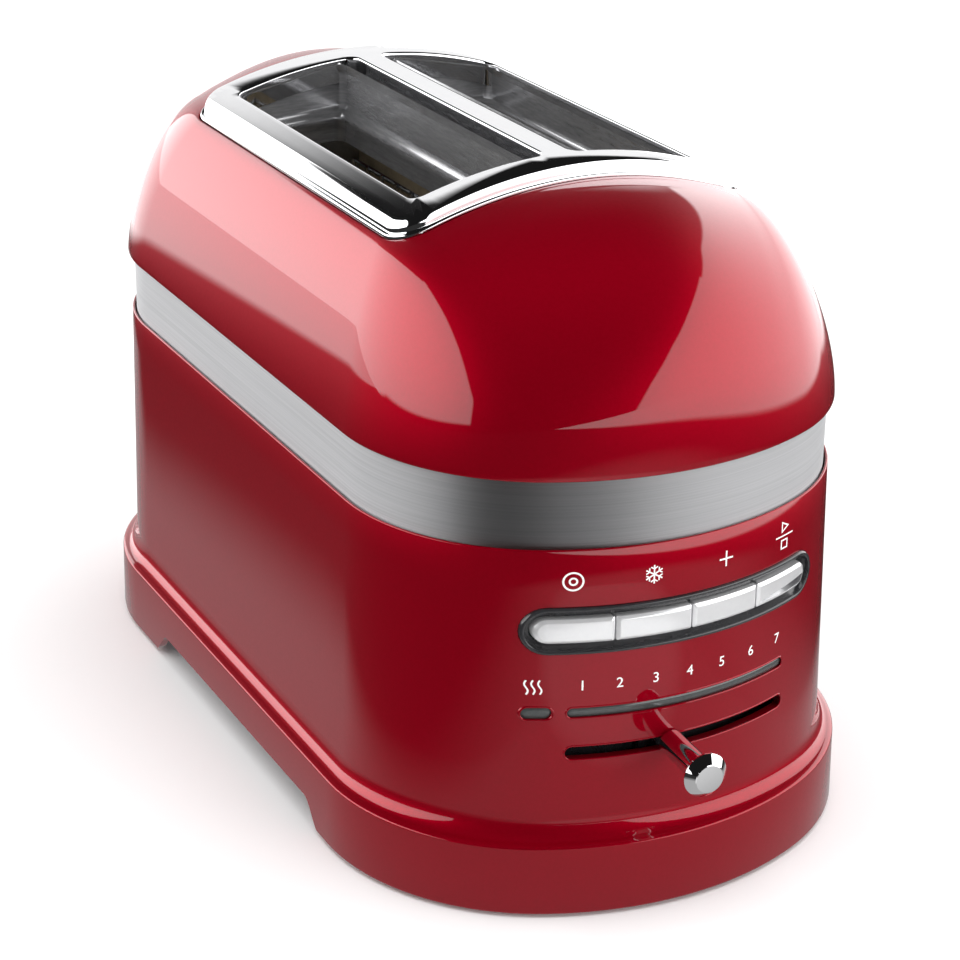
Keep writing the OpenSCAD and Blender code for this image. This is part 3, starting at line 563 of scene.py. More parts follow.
shell_places = quarter(14, 40, 24)
shell_rows = (
    [plan_row(shell_places, grow, z) for grow, z in arc(0.1, SHELL_Z + 0.7, 0.7, 0.7, -90, -8, 5)]
    + [dome_row(sin(pi / 2 * i / 44), 0.8, 0) for i in range(1, 45)]
    + [dome_row(1, 0.8, 0.5), dome_row(1, 0.8, 2.2)]
    + [dome_row(sin(pi / 2 * i / 14), -0.9, 2.6) for i in range(14, 0, -1)]
    + [plan_row(shell_places, -0.9, SHELL_Z)]
)
shell = loft("upper_shell_dome", shell_rows, sharp=50)
settle(shell, "body", candy_red, "candy_red", "upper_shell")

# ---------------------------------------------------------------------------------------------
# Slot bezel: a chrome plated zinc frame, arched across its width. Its outer edge has a small
# upright foot, a groove, and a wide roll up to the flat land round the two slots.
BAR_W, SLOT_W, SLOT_L, SLOT_R = 10, 47, 144, 4


def round_rect(half_w, half_l, r, steps=10):
    """A rectangle with round corners as points in X and Y."""
    points = []
    for sx, sy, start in ((1, 1, 0), (-1, 1, 90), (-1, -1, 180), (1, -1, 270)):
        for i in range(steps + 1):
            a = radians(start + 90 * i / steps)
            points.append((sx * (half_w - r) + r * cos(a), sy * (half_l - r) + r * sin(a)))
    return points


def moulded(name, outer, holes, bend, cut_every=None, cut_span=0, sharp=32):
    """A plate built flat and then bent. Outer and holes are stacks of (points, height) loops
    from the back face to the front face, and the front and back faces are filled between them.
    Seams every cut_every millimetres, out to cut_span, let the flat faces follow the bend."""
    bm = bmesh.new()
    ends = {0: [], -1: []}
    for stack in [outer] + holes:
        grid = [[bm.verts.new((x, y, h)) for x, y in points] for points, h in stack]
        n = len(grid[0])
        for a, b in zip(grid, grid[1:]):
            for i in range(n):
                bm.faces.new((a[i], a[(i + 1) % n], b[(i + 1) % n], b[i]))
        for end in ends:
            ring = grid[end]
            ends[end] += [bm.edges.get((ring[i], ring[(i + 1) % n])) for i in range(n)]
    for edges in ends.values():
        bmesh.ops.triangle_fill(bm, edges=edges, use_beauty=True)
    if cut_every:
        count = int(cut_span / cut_every)
        for i in range(-count, count + 1):
            bmesh.ops.bisect_plane(
                bm, geom=bm.verts[:] + bm.edges[:] + bm.faces[:], dist=1e-4,
                plane_co=(i * cut_every, 0, 0), plane_no=(1, 0, 0))
    for v in bm.verts:
        v.co = Vector(bend(v.co.x, v.co.y, v.co.z))
    return new_piece(name, bm, sharp)


def frame_loop(inset, h, end_inset=None):
    """A loop of the bezel's outer edge. A smaller end_inset makes the roll narrow at the ends."""
    end_inset = inset if end_inset is None else end_inset
    return (round_rect(FRAME_W / 2 - inset, FRAME_L / 2 - end_inset, FRAME_R - inset), TOP_Z + h)


def hole_loop(side, grow, h):
    """A loop of the edge of one bread opening."""
    middle = side * (BAR_W + SLOT_W) / 2
    ring = round_rect(SLOT_W / 2 + grow, SLOT_L / 2 + grow, SLOT_R + grow, 8)
    return ([(x + middle, y) for x, y in ring], TOP_Z + h)


frame_edge = (
    [frame_loop(0.45, -9), frame_loop(0.45, -4.6)]
    + [frame_loop(i, h) for i, h in arc(0.95, -4.3, -0.5, 0.5, 0, 90, 4)]
    + [frame_loop(1.5, -4.0), frame_loop(1.65, -4.2), frame_loop(1.8, -3.9)]
    + [frame_loop(1.85 + 3.4 * (1 - cos(radians(t))), -3.6 + 3.6 * sin(radians(t)),
                  1.85 + 0.8 * (1 - cos(radians(t)))) for t in range(0, 91, 10)]
)
slot_edge = [(0.0, -3.4), (0.0, -1.1)] + [(0.9 - 0.9 * cos(radians(t)), -0.9 + 0.9 * sin(radians(t)))
                                         for t in range(15, 91, 15)]
slot_frame = moulded(
    "slot_frame", frame_edge, [[hole_loop(s, g, h) for g, h in [(0.0, -9)] + slot_edge] for s in (-1, 1)],
    lambda x, y, h: (x, y, h - x * x / (2 * ARCH_R)), 3.0, 63, sharp=40)
bezel_chrome = finish("bezel_chrome", (0.90, 0.90, 0.91), (0.84, 0.84, 0.86), (0.03, 0.07), scale=30.0,
                      contrast=0.5, Metallic=1.0)
settle(slot_frame, "body", bezel_chrome, "bezel_chrome", "slot_bezel")

# ---------------------------------------------------------------------------------------------
# Slot liners: one folded trough of polished steel under each slot, darkened by heat. The walls
# drop straight, swell into a rounded ledge, and end above the bread guards.
LINER_IN, LINER_OUT, LINER_Z = BAR_W / 2 + 4.5, BAR_W / 2 + SLOT_W - 0.5, 192
liner_shape = (
    [(0.5, 0.0), (0.0, 0.02), (0.0, 0.25), (0.1, 0.52)]
    + [(0.3, 0.58), (1.1, 0.62), (1.7, 0.68), (1.7, 0.74), (1.3, 0.79), (1.1, 0.86), (1.1, 1.0)]
)
liner_steel = brushed_finish(
    "dark_polished_steel", (0.30, 0.30, 0.31), (0.55, 0.55, 0.56), (0.12, 0.22), grain=(60, 60, 500),
    bump=0.05, Metallic=0.7)


def liner_row(side, inset, level):
    """A loop of one trough: level is 0 under the bezel and 1 at the lower end."""
    half_w, half_l = (LINER_OUT - LINER_IN) / 2 - inset, SLOT_L / 2 + 0.4 - inset
    row = []
    for x, y in round_rect(half_w, half_l, 3.4, 6):
        x += side * (LINER_IN + LINER_OUT) / 2
        high = top_at(x) - 1.9
        row.append((x, y, high + (LINER_Z - high) * level))
    return row


for side, label in ((-1, "left"), (1, "right")):
    liner = loft("slot_trough_" + label, (
        [liner_row(side, i, w) for i, w in liner_shape]
        + [liner_row(side, i - 0.6, w) for i, w in liner_shape[:1:-1]]))
    settle(liner, "body", liner_steel, "liner_steel", "slot_liner_" + label)

# ---------------------------------------------------------------------------------------------
# Underside: a zinc plated steel cover with vent slots, four rubber pads that carry the body,
# and the screws that hold the cover to the bosses of the casting.
plated_sheet = finish("plated_sheet", (0.56, 0.57, 0.58), (0.42, 0.43, 0.45), (0.30, 0.48), scale=120.0,
                      contrast=0.7, bump=0.05, Metallic=1.0)
cover_sheet = finish("dark_plated_sheet", (0.30, 0.30, 0.31), (0.20, 0.20, 0.21), (0.35, 0.5), scale=120.0,
                     contrast=0.7, bump=0.05, Metallic=1.0)
black_rubber = finish("black_rubber", (0.022, 0.022, 0.023), (0.035, 0.035, 0.036), (0.65, 0.85), scale=400.0,
                      contrast=0.8, bump=0.2)
screw_steel = finish("screw_steel", (0.62, 0.61, 0.58), (0.48, 0.47, 0.45), (0.2, 0.34), scale=200.0,
                     contrast=0.6, Metallic=1.0)
dress(["bottom_cover"], cover_sheet)
dress(["rubber_feet"], black_rubber)
dress(["base_screws", "chassis_screws", "guide_rods"], screw_steel)

# ---------------------------------------------------------------------------------------------
# Chassis: folded and plated sheet steel. The pan screws to the casting; the bulkheads and heat
# shields stand on it round the bread chamber, and small brackets carry the drive and boards.
dress(["chassis_pan", "front_bulkhead", "rear_bulkhead", "heat_shield_left", "heat_shield_right",
       "rod_bracket", "motor_bracket", "board_bracket", "tray_rails"], plated_sheet)

# ---------------------------------------------------------------------------------------------
# Heaters: pressed mica boards wound with flat resistance ribbon, one board at each side of the
# chamber and one between the two slots. The mica is flecked; the ribbon is grey with oxide.
mica = finish("pressed_mica", (0.50, 0.41, 0.28), (0.32, 0.25, 0.16), (0.35, 0.6), scale=260.0,
              contrast=0.9, bump=0.1, Specular_IOR_Level=0.6)
ribbon = finish("resistance_ribbon", (0.30, 0.28, 0.26), (0.16, 0.14, 0.13), (0.4, 0.6), scale=500.0,
                contrast=0.8, Metallic=1.0)
dress(["heater_left", "heater_centre", "heater_right"], mica)
dress(["heater_ribbons"], ribbon)

# ---------------------------------------------------------------------------------------------
# Bread guards, racks and carriage: plated wire and strip. The guards tilt in to hold the bread
# upright as the carriage takes the two racks down its guide rods.
wire_plate = finish("plated_wire", (0.62, 0.62, 0.63), (0.45, 0.45, 0.46), (0.16, 0.3), scale=300.0,
                    contrast=0.6, Metallic=1.0)
dress(["guard_left_outer", "guard_left_inner", "guard_right_inner", "guard_right_outer",
       "bread_rack_left", "bread_rack_right", "carriage_plate"], wire_plate)

# ---------------------------------------------------------------------------------------------
# Lift drive: a moulded rack on the carriage, a moulded pinion and gear on one shaft, and a
# brass pinion on the small motor behind the drive plate.
white_nylon = finish("white_nylon", (0.80, 0.79, 0.75), (0.70, 0.69, 0.64), (0.38, 0.5), scale=150.0,
                     contrast=0.5, Subsurface_Weight=0.1)
brass = finish("turned_brass", (0.75, 0.58, 0.27), (0.62, 0.45, 0.2), (0.18, 0.3), scale=400.0,
               contrast=0.6, Metallic=1.0)
motor_can = brushed_finish("drawn_motor_can", (0.42, 0.42, 0.43), (0.6, 0.6, 0.6), (0.25, 0.36),
                           grain=(300, 300, 20))
dress(["lift_rack", "drive_pinion", "drive_gear"], white_nylon)
dress(["motor_pinion"], brass)
dress(["lift_motor"], motor_can)

# ---------------------------------------------------------------------------------------------
# Key surround: a glossy black moulding snapped into the front wall. It has a raised rim, a
# dished channel inside it, and a floor behind the keys.
FACE_R = END_R + 0.6
KEY_H, KEY_ARC, KEY_GAP = 8.2, 51.7, 0.25


def key_x(arc_length):
    """How far across the body a place lies that is measured along the front arc."""
    return END_R * sin(arc_length / END_R)


def slot_ring(half_l, half_h, grow, steps=14):
    """A loop of a plate with round ends, drawn flat about its own middle."""
    return stadium(half_l + grow, half_h + grow, 0, 0, steps)


def on_front(z_middle, radius, x_middle=0.0):
    """Bends a flat plate, drawn in X and Z with its height outwards, round the front arc."""
    def bend(x, y, h):
        x, r = x + x_middle, radius + h
        return (x, -END_CY - sqrt(r * r - x * x), z_middle + y)
    return bend


half_key_l, half_key_h = key_x(KEY_ARC) + 0.35, KEY_H / 2 + 0.35
surround_edge = (
    [(slot_ring(BEZEL_HALF, BEZEL_HALF_H, 0), -3.5), (slot_ring(BEZEL_HALF, BEZEL_HALF_H, 0), 0.15)]
    + [(slot_ring(BEZEL_HALF, BEZEL_HALF_H, -0.65 - 0.65 * cos(radians(t))), 0.15 + 0.5 * sin(radians(t)))
       for t in range(160, -1, -20)]
    + [(slot_ring(BEZEL_HALF, BEZEL_HALF_H, -1.7), -0.9), (slot_ring(BEZEL_HALF, BEZEL_HALF_H, -2.4), -1.6)]
)
surround = moulded(
    "key_surround", surround_edge,
    [[(slot_ring(half_key_l, half_key_h, 0), -3.5), (slot_ring(half_key_l, half_key_h, 0), -1.9),
      (slot_ring(half_key_l, half_key_h, 0.2), -1.7)]],
    on_front(BUTTON_Z, FACE_R + 0.2), 2.0, 56)
gloss_black = finish("gloss_black_plastic", (0.018, 0.018, 0.020), (0.030, 0.030, 0.032), (0.12, 0.22),
                     scale=80.0, contrast=0.5, Coat_Weight=0.4, Coat_Roughness=0.06)
settle(surround, "body", gloss_black, "bezel_black", "button_bezel")

# ---------------------------------------------------------------------------------------------
# Keys: four satin chrome caps that fill the surround. Each has a flat face, a broad bevel all
# round, and a square stem behind that reaches its switch. The outer two have round ends.
key_chrome = finish("satin_key_chrome", (0.90, 0.90, 0.91), (0.82, 0.82, 0.84), (0.15, 0.22), scale=90.0,
                    contrast=0.5, Metallic=0.6)
KEY_R = FACE_R + 0.8
BOARD_Y, STEM_HALF = -141, 2


def key_outline(low, high, shrink, round_low, round_high):
    """Points of a key's outline: square or round at each end, drawn in by shrink."""
    h = KEY_H / 2 - shrink
    points = []
    for end, rounded, sign in ((high, round_high, 1), (low, round_low, -1)):
        r = h if rounded else 0.5
        x = end - sign * (shrink + r)
        for sz in ((-1, 1) if sign > 0 else (1, -1)):
            cz = sz * (h - r)
            for i in range(9):
                t = i / 8 * pi / 2
                a = {(1, -1): -pi / 2 + t, (1, 1): t, (-1, 1): pi / 2 + t, (-1, -1): pi + t}[(sign, sz)]
                points.append((x + r * cos(a), cz + r * sin(a)))
    return points


for i, name in enumerate(("bagel", "frozen", "longer", "toast")):
    low = key_x(-KEY_ARC + i * KEY_ARC / 2) + (0 if i == 0 else KEY_GAP)
    high = key_x(-KEY_ARC + (i + 1) * KEY_ARC / 2) - (0 if i == 3 else KEY_GAP)
    stack = [(key_outline(low, high, s, i == 0, i == 3), h) for s, h in (
        (0.0, -4.0), (0.0, -0.85), (0.08, -0.65), (0.85, -0.12), (1.05, -0.03), (1.3, 0.0))]
    cap = moulded(name + "_key_cap", stack, [], on_front(BUTTON_Z, KEY_R), 2.0, 56, sharp=22)
    stem_x = key_x(-KEY_ARC + (i + 0.5) * KEY_ARC / 2)
    front_y = -END_CY - sqrt((KEY_R - 3.5) ** 2 - stem_x ** 2)
    stem = prism([(stem_x + sx * STEM_HALF, BUTTON_Z + sz * STEM_HALF)
                  for sx, sz in ((-1, -1), (1, -1), (1, 1), (-1, 1))], front_y, BOARD_Y - 6)
    stem.name = name + "_key_stem"
    settle(cap, name + "_key", key_chrome, "button_chrome", name + "_button")
    settle(stem, name + "_key", key_chrome, "button_chrome")

# ---------------------------------------------------------------------------------------------
# Electronics: two green circuit boards with dark tracks, the switches and lamps of the front
# board, and the relay, transformer and terminal block at the rear.
def board_finish(name):
    """Solder mask with fine copper tracks showing through it."""
    material = finish(name, (0.01, 0.12, 0.05), (0.005, 0.08, 0.03), (0.25, 0.35), Coat_Weight=0.3)
    tree = material.node_tree
    surface = tree.nodes["Principled BSDF"]
    place = wire(tree, "ShaderNodeTexCoord")
    tracks = wire(tree, "ShaderNodeTexBrick", Vector=place.outputs["Object"], Scale=220.0)
    tracks.inputs["Color1"].default_value = (0.01, 0.13, 0.05, 1)
    tracks.inputs["Color2"].default_value = (0.02, 0.18, 0.07, 1)
    tracks.inputs["Mortar"].default_value = (0.05, 0.30, 0.12, 1)
    tree.links.new(tracks.outputs["Color"], surface.inputs["Base Color"])
    return material


green_board = board_finish("green_board")
lamp_cap = finish("amber_lamp_cap", (0.85, 0.40, 0.08), (0.7, 0.3, 0.05), (0.1, 0.2), scale=300.0,
                  Coat_Weight=0.5)
relay_blue = finish("relay_blue", (0.06, 0.17, 0.42), (0.04, 0.12, 0.32), (0.2, 0.3), scale=80.0,
                    Coat_Weight=0.3)
core_iron = finish("varnished_core", (0.20, 0.17, 0.13), (0.10, 0.08, 0.06), (0.35, 0.5), scale=30.0,
                   stretch=(1, 40, 1), contrast=0.9, Metallic=0.6)
dress(["button_board", "control_board"], green_board)
dress(["tact_switches"], gloss_black)
dress(["scale_lamps"], lamp_cap)
dress(["relay"], relay_blue)
dress(["transformer"], core_iron)
dress(["terminal_block"], white_nylon)

# ---------------------------------------------------------------------------------------------
# Light guide and keep warm window: smoked acrylic bars with a crowned face, pushed into their
# slots from behind until a flange meets the back of the wall.
smoked = finish("smoked_acrylic", (0.045, 0.05, 0.05), (0.075, 0.08, 0.08), (0.10, 0.18), scale=120.0,
                contrast=0.6, Coat_Weight=0.6, Coat_Roughness=0.04)


def crowned_bar(name, half_l, half_h, x_middle, seat, crown):
    """A bar with a rounded front face, standing seat millimetres off the wall's own radius."""
    wall_r = END_R + DRAFT * (LIP_Z - LIGHT_Z) / (LIP_Z - FILLET_Z)
    stack = [(stadium(half_l + 1.4, half_h + 1.4), -5.0), (stadium(half_l + 1.4, half_h + 1.4), -3.4),
             (stadium(half_l - 0.08, half_h - 0.08), -3.4)]
    stack += [(stadium(half_l - 0.08 - s, half_h - 0.08 - s), seat + crown * (1 - (1 - s / half_h) ** 2))
              for s in (0.0, 0.25, 0.5, 0.8, 1.1, 1.4)]
    return moulded(name, stack, [], on_front(LIGHT_Z, wall_r, x_middle), 2.0, 56, sharp=40)


guide = crowned_bar("light_guide_bar", LIGHT_HALF, LIGHT_HALF_H, 0, -0.9, 0.5)
settle(guide, "body", smoked, "smoked_lens", "light_guide")
window = crowned_bar("keep_warm_bar", WINDOW_HALF, WINDOW_HALF_H, WINDOW_X, -1.0, 0.4)
settle(window, "body", smoked, "smoked_lens", "keep_warm_lens")

# ---------------------------------------------------------------------------------------------
# Shade slider: a black moulded carrier on a curved black track behind the wall, and a polished
# steel shank that comes out through the slit and carries a turned, chamfered knob.
SLIDER_REST, KNOB_REACH, SHANK_R, KNOB_R, KNOB_FACE_R, KNOB_T = radians(-3.5), 133.5, 4.2, 7.4, 4.7, 3.7
dress(["slider_track", "slider_carrier"], gloss_black)
knob_chrome = finish("polished_knob_chrome", (0.90, 0.90, 0.91), (0.86, 0.86, 0.87), (0.02, 0.05), scale=60.0,
                     contrast=0.4, Metallic=1.0)


def turned(name, profile, steps=72):
    """A lathe turned piece on the slider's axis. Profile is (radius, reach from the arc's middle)."""
    rows = []
    for r, reach in profile:
        rows.append([
            (r * cos(2 * pi * k / steps) * cos(SLIDER_REST) + reach * sin(SLIDER_REST),
             -END_CY + r * cos(2 * pi * k / steps) * sin(SLIDER_REST) - reach * cos(SLIDER_REST),
             SLIDER_Z + r * sin(2 * pi * k / steps)) for k in range(steps)])
    return loft(name, rows, wrap=False, sharp=20)


shank = turned("slider_rod", [(SHANK_R, END_R + 2.2), (SHANK_R, 118), (SHANK_R, KNOB_REACH - KNOB_T)])
settle(shank, "shade_slider", knob_chrome, "knob_chrome", "slider_shank")
back_reach = KNOB_REACH - KNOB_T
knob = turned("slider_button", (
    [(KNOB_R - 0.6, back_reach)]
    + [(KNOB_R - 0.25 * (1 - t), back_reach + 0.4 * t + 0.05) for t in (0.0, 0.5, 1.0)]
    + [(KNOB_R, back_reach + 0.9), (KNOB_R - 0.12, back_reach + 1.15), (KNOB_FACE_R + 0.2, KNOB_REACH - 0.14),
       (KNOB_FACE_R - 0.1, KNOB_REACH)]))
settle(knob, "shade_slider", knob_chrome, "knob_chrome", "slider_knob")

# ---------------------------------------------------------------------------------------------
# Printed marks: white ink on the front wall. Numbers 1 to 7 over the shade scale, and plain
# signs over the keys and the window: ring, flake, plus, start and stop, and rising heat.
white_ink = finish("white_ink", (0.86, 0.86, 0.86), (0.78, 0.78, 0.78), (0.4, 0.5), scale=900.0, contrast=0.6)
INK_OUT, INK_T = 0.01, 0.06


def stroke(name, points, width, closed=False):
    """A line of ink through points in X and Z on the front wall, with mitred corners."""
    fine_points = []
    count = len(points)
    for i in range(count if closed else count - 1):
        (ax, az), (bx, bz) = points[i], points[(i + 1) % count]
        parts = max(1, int(abs(bx - ax) / 1.0))
        fine_points += [(ax + (bx - ax) * k / parts, az + (bz - az) * k / parts) for k in range(parts)]
    if not closed:
        fine_points.append(points[-1])
    n = len(fine_points)
    rows = []
    for i, (x, z) in enumerate(fine_points):
        before = fine_points[i - 1] if (closed or i > 0) else fine_points[0]
        after = fine_points[(i + 1) % n] if (closed or i < n - 1) else fine_points[-1]
        first = Vector((x - before[0], z - before[1]))
        second = Vector((after[0] - x, after[1] - z))
        first = first.normalized() if first.length else second.normalized()
        second = second.normalized() if second.length else first
        side = Vector((-(first + second).y, (first + second).x)).normalized()
        reach = width / 2 / max(0.5, side.dot(Vector((-first.y, first.x))))
        left, right = (x + side.x * reach, z + side.y * reach), (x - side.x * reach, z - side.y * reach)
        rows.append([on_wall(*left, INK_OUT + INK_T), on_wall(*right, INK_OUT + INK_T),
                     on_wall(*right, INK_OUT - 0.1), on_wall(*left, INK_OUT - 0.1)])
    return settle(loft(name, rows, wrap=closed), "body", white_ink, "candy_red")


def circle_points(x, z, r, steps=28):
    """A circle in X and Z for a line of ink."""
    return [(x + r * cos(2 * pi * i / steps), z + r * sin(2 * pi * i / steps)) for i in range(steps)]


SIGN_Z, SIGN_LINE = 114.6, 0.55
ring_x, flake_x, plus_x, start_x = (key_x(s) for s in (-39.3, -13.6, 12.4, 39.1))
stroke("ring_outer", circle_points(ring_x, SIGN_Z, 2.9), SIGN_LINE, True)
stroke("ring_inner", circle_points(ring_x, SIGN_Z, 1.1, 18), SIGN_LINE, True)
for k in range(3):
    a = pi / 6 + k * pi / 3
    stroke(f"flake_arm_{k}", [(flake_x - 3.1 * cos(a), SIGN_Z - 3.1 * sin(a)),
                              (flake_x + 3.1 * cos(a), SIGN_Z + 3.1 * sin(a))], SIGN_LINE * 0.8)
for k in range(6):
    a = pi / 6 + k * pi / 3
    tip = [(flake_x + r * cos(a + w), SIGN_Z + r * sin(a + w))
           for r, w in ((2.7, 0.42), (1.8, 0.0), (2.7, -0.42))]
    stroke(f"flake_tip_{k}", tip, SIGN_LINE * 0.7)
stroke("plus_across", [(plus_x - 2.6, SIGN_Z), (plus_x + 2.6, SIGN_Z)], SIGN_LINE)
stroke("plus_upright", [(plus_x, SIGN_Z - 2.6), (plus_x, SIGN_Z + 2.6)], SIGN_LINE)
stroke("start_mark", [(start_x - 1.3, SIGN_Z + 1.5), (start_x - 1.3, SIGN_Z + 4.7),
                      (start_x + 1.6, SIGN_Z + 3.1)], SIGN_LINE * 0.8, True)
stroke("start_stop_bar", [(start_x - 4.2, SIGN_Z), (start_x + 4.2, SIGN_Z)], SIGN_LINE * 0.8)
stroke("stop_mark", [(start_x - 1.4, SIGN_Z - 1.5), (start_x + 1.4, SIGN_Z - 1.5),
                     (start_x + 1.4, SIGN_Z - 4.3), (start_x - 1.4, SIGN_Z - 4.3)], SIGN_LINE * 0.8, True)
warm_x, WAVE_Z, WAVE_H, WAVE_GAP = key_x(-51.4), 76.6, 4.8, 1.9
for k in (-1, 0, 1):
    stroke(f"heat_wave_{k + 1}", [
        (warm_x + k * WAVE_GAP + 0.5 * sin(2 * pi * i / 12), WAVE_Z + WAVE_H * i / 12)
        for i in range(13)], SIGN_LINE * 0.8)

NUMBER_Z, NUMBER_H, FONT_CAPITAL = 79.1, 3.5, 0.72
for number, arc_length in enumerate((-36, -24, -12, 0, 12.2, 24.6, 37.3), 1):
    text = bpy.data.curves.new("scale_number", "FONT")
    text.body = str(number)
    text.size = NUMBER_H / FONT_CAPITAL
    text.align_x, text.align_y = "CENTER", "CENTER"
    text.extrude = (INK_T + 0.1) / 2
    text.resolution_u = 8
    flat = bpy.data.objects.new("scale_number", text)
    bpy.context.scene.collection.objects.link(flat)
    bpy.context.view_layer.update()
    mesh = bpy.data.meshes.new_from_object(flat.evaluated_get(bpy.context.evaluated_depsgraph_get()))
    bpy.data.objects.remove(flat)
    bm = bmesh.new()
    bm.from_mesh(mesh)
    for v in bm.verts:
        v.co = Vector(on_wall(key_x(arc_length) + v.co.x, NUMBER_Z + v.co.y, v.co.z + INK_OUT - 0.02))
    settle(new_piece(f"scale_number_{number}", bm), "body", white_ink, "candy_red")

# ---------------------------------------------------------------------------------------------
# Rear: a rubber cord bush in the wall, and a drawer front in the same red that closes the
# crumb tray, with a finger notch under its lower edge. The tray itself is plated sheet.
dress(["cord_gland"], black_rubber)
dress(["crumb_tray"], plated_sheet)
dress(["tray_front"], candy_red)

# ---------------------------------------------------------------------------------------------
# Studio: a plain white table under a large soft panel at each side and a pale wall behind.
# The front and the ceiling stay dark in reflections, so the lacquer shows the panels' edges.
# A corner of a panel is its azimuth and elevation in degrees, seen from the toaster.
LEFT_PANELS = [[(-67, 2), (-68, 11), (-74, 19), (-83, 28), (-96, 36), (-113, 41), (-122, 42), (-122, 0)],
               [(-118, 42), (-142, 34), (-160, 21), (-160, -9), (-118, 0)],
               [(-156, 22), (-180, 29), (-180, -11), (-156, -9)]]
RIGHT_PANELS = [[(4, -2), (9, 10), (20, 25), (36, 36), (53, 42), (80, 44), (80, -12), (22, -12)],
                [(74, 43), (108, 39), (130, 24), (142, 12), (142, -12), (74, -12)]]
BACK_PANEL = [(142, -5), (142, 16), (165, 27), (180, 27), (180, -5)]
LEFT_FADE, RIGHT_FADE, BACK_STRENGTH = (-140, 3.7, 1.8), (75, 2.7, 2.1), 1.0
PANEL_EDGE, BACK_EDGE, DARK_SKY = 0.012, 0.05, 0.01
# The table glows in reflections only. Each pool is a middle and radii in metres, the reaches
# where it begins and ends to fade, and its strength. Beyond each far line it is bright again.
POOLS = [((0, 0.03), (0.085, 0.30), 1.6, 2.2, 0.42), ((0.03, -0.32), (0.24, 0.28), 0.6, 1.2, 0.36),
         ((-0.02, -0.34), (0.12, 0.10), 0.7, 1.25, 0.75)]
FLOOR_HALF, DARK_TABLE, FAR_AZIMUTH, REAR_WAY = 8, 0.03, 62, (0.515, 0.857, 0)
TOP_LIGHT, FRONT_LIGHT = 72, 9
world = bpy.data.worlds.new("studio_world")
world.use_nodes = True
sky = world.node_tree
looking = wire(sky, "ShaderNodeTexCoord").outputs["Generated"]


def heading_vector(azimuth, elevation):
    """A direction: azimuth 0 is straight out of the control front, 90 is the right side."""
    a, e = radians(azimuth), radians(elevation)
    return Vector((sin(a) * cos(e), -cos(a) * cos(e), sin(e)))


def joined(tree, operation, first, second):
    """Two strengths made into one by a sum, a product or the larger of the two."""
    return wire(tree, "ShaderNodeMath", {"operation": operation}, _0=first, _1=second).outputs[0]


def along_way(tree, point, way):
    """How far a point or direction reaches along a way."""
    return wire(tree, "ShaderNodeVectorMath", {"operation": "DOT_PRODUCT"}, _0=point, _1=way).outputs["Value"]


def ramp(tree, value, low, high, at_low, at_high, kind="SMOOTHSTEP"):
    """A strength that goes from at_low to at_high as a value goes from low to high."""
    return wire(tree, "ShaderNodeMapRange", {"interpolation_type": kind}, Value=value, From__Min=low,
                From__Max=high, To__Min=at_low, To__Max=at_high).outputs[0]


def panel(corners, strength, edge):
    """A flat lit panel far away, as a mask over the sky: inside every line between its corners."""
    points = [heading_vector(*c) for c in corners]
    middle = sum(points, Vector()).normalized()
    mask = strength
    for first, second in zip(points, points[1:] + points[:1]):
        inward = first.cross(second).normalized()
        if inward.dot(middle) < 0:
            inward = -inward
        inside = ramp(sky, along_way(sky, looking, inward), -edge, edge, 0.0, 1.0)
        mask = joined(sky, "MULTIPLY", inside, mask)
    return mask


def falling(azimuth, near, away):
    """A strength that fades from near to away as the direction leaves an azimuth."""
    turned_to = along_way(sky, looking, heading_vector(azimuth, 0))
    return ramp(sky, turned_to, 1.0, -0.3, near, away, "LINEAR")


lit = panel(BACK_PANEL, BACK_STRENGTH, BACK_EDGE)
for corner_sets, fade in ((LEFT_PANELS, LEFT_FADE), (RIGHT_PANELS, RIGHT_FADE)):
    for corners in corner_sets:
        lit = joined(sky, "MAXIMUM", lit, panel(corners, falling(*fade), PANEL_EDGE))
lit = joined(sky, "ADD", lit, DARK_SKY)
seen = sky.nodes.new("ShaderNodeLightPath")
strength = wire(sky, "ShaderNodeMix", {"data_type": "FLOAT"},
                Factor=seen.outputs["Is Camera Ray"], A=lit, B=1.0)
sky.nodes["Background"].inputs["Color"].default_value = (1, 1, 1, 1)
sky.links.new(strength.outputs[0], sky.nodes["Background"].inputs["Strength"])
bpy.context.scene.world = world

floor_mesh = bpy.data.meshes.new("studio_floor")
bm = bmesh.new()
bmesh.ops.create_grid(bm, x_segments=1, y_segments=1, size=FLOOR_HALF)
bm.to_mesh(floor_mesh)
bm.free()
floor = bpy.data.objects.new("studio_floor", floor_mesh)
bpy.context.scene.collection.objects.link(floor)
floor_white = finish("studio_floor_white", (0.93, 0.93, 0.93), (0.92, 0.92, 0.92), (0.6, 0.7), scale=2.0)
tree = floor_white.node_tree
spot = wire(tree, "ShaderNodeTexCoord").outputs["Object"]


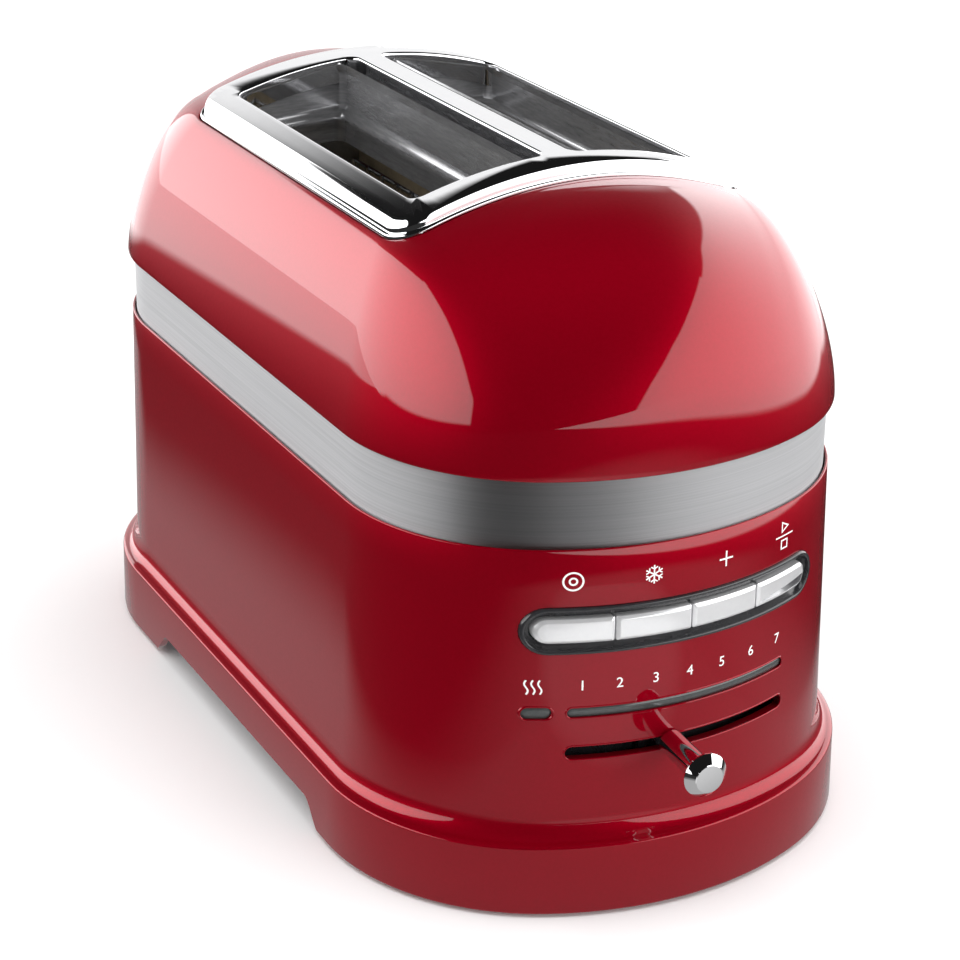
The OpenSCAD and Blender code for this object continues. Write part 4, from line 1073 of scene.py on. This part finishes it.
def pool(centre, radii, inner, outer, strength):
    """A soft edged oval of brighter table, for reflections only."""
    off = wire(tree, "ShaderNodeVectorMath", {"operation": "SUBTRACT"}, _0=spot, _1=(*centre, 0))
    off = wire(tree, "ShaderNodeVectorMath", {"operation": "MULTIPLY"}, _0=off.outputs[0],
               _1=(1 / radii[0], 1 / radii[1], 0))
    off = wire(tree, "ShaderNodeVectorMath", {"operation": "LENGTH"}, _0=off.outputs[0])
    return ramp(tree, off.outputs["Value"], inner, outer, strength, DARK_TABLE)


near = pool(*POOLS[0])
for oval in POOLS[1:]:
    near = joined(tree, "MAXIMUM", near, pool(*oval))
far = ramp(tree, along_way(tree, spot, heading_vector(FAR_AZIMUTH, 0)), 0.66, 0.80, 0.0, 2.6)
rear = ramp(tree, along_way(tree, spot, REAR_WAY), 0.52, 0.66, 0.0, 2.2)
glow = tree.nodes.new("ShaderNodeEmission")
tree.links.new(joined(tree, "ADD", near, joined(tree, "MAXIMUM", far, rear)), glow.inputs["Strength"])
path = tree.nodes.new("ShaderNodeLightPath")
either = tree.nodes.new("ShaderNodeMixShader")
tree.links.new(path.outputs["Is Glossy Ray"], either.inputs[0])
tree.links.new(tree.nodes["Principled BSDF"].outputs[0], either.inputs[1])
tree.links.new(glow.outputs[0], either.inputs[2])
tree.links.new(either.outputs[0], tree.nodes["Material Output"].inputs["Surface"])
floor.data.materials.append(floor_white)
floor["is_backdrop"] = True
bpy.context.scene.view_settings.view_transform = "Standard"


def soft_lamp(name, width, energy, location, turn):
    """A square area lamp that lights matt surfaces but is not seen in polished ones."""
    lamp = bpy.data.lights.new(name, "AREA")
    lamp.size, lamp.energy = width, energy
    placed = bpy.data.objects.new(name, lamp)
    placed.location, placed.rotation_euler = location, turn
    placed.visible_glossy = placed.visible_camera = False
    bpy.context.scene.collection.objects.link(placed)


soft_lamp("top_light", 3.0, TOP_LIGHT, (0, 0, 2.4), (0, 0, 0))
soft_lamp("front_light", 0.8, FRONT_LIGHT, (0.35, -1.5, 0.45), (radians(80), 0, radians(13)))

low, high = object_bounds()
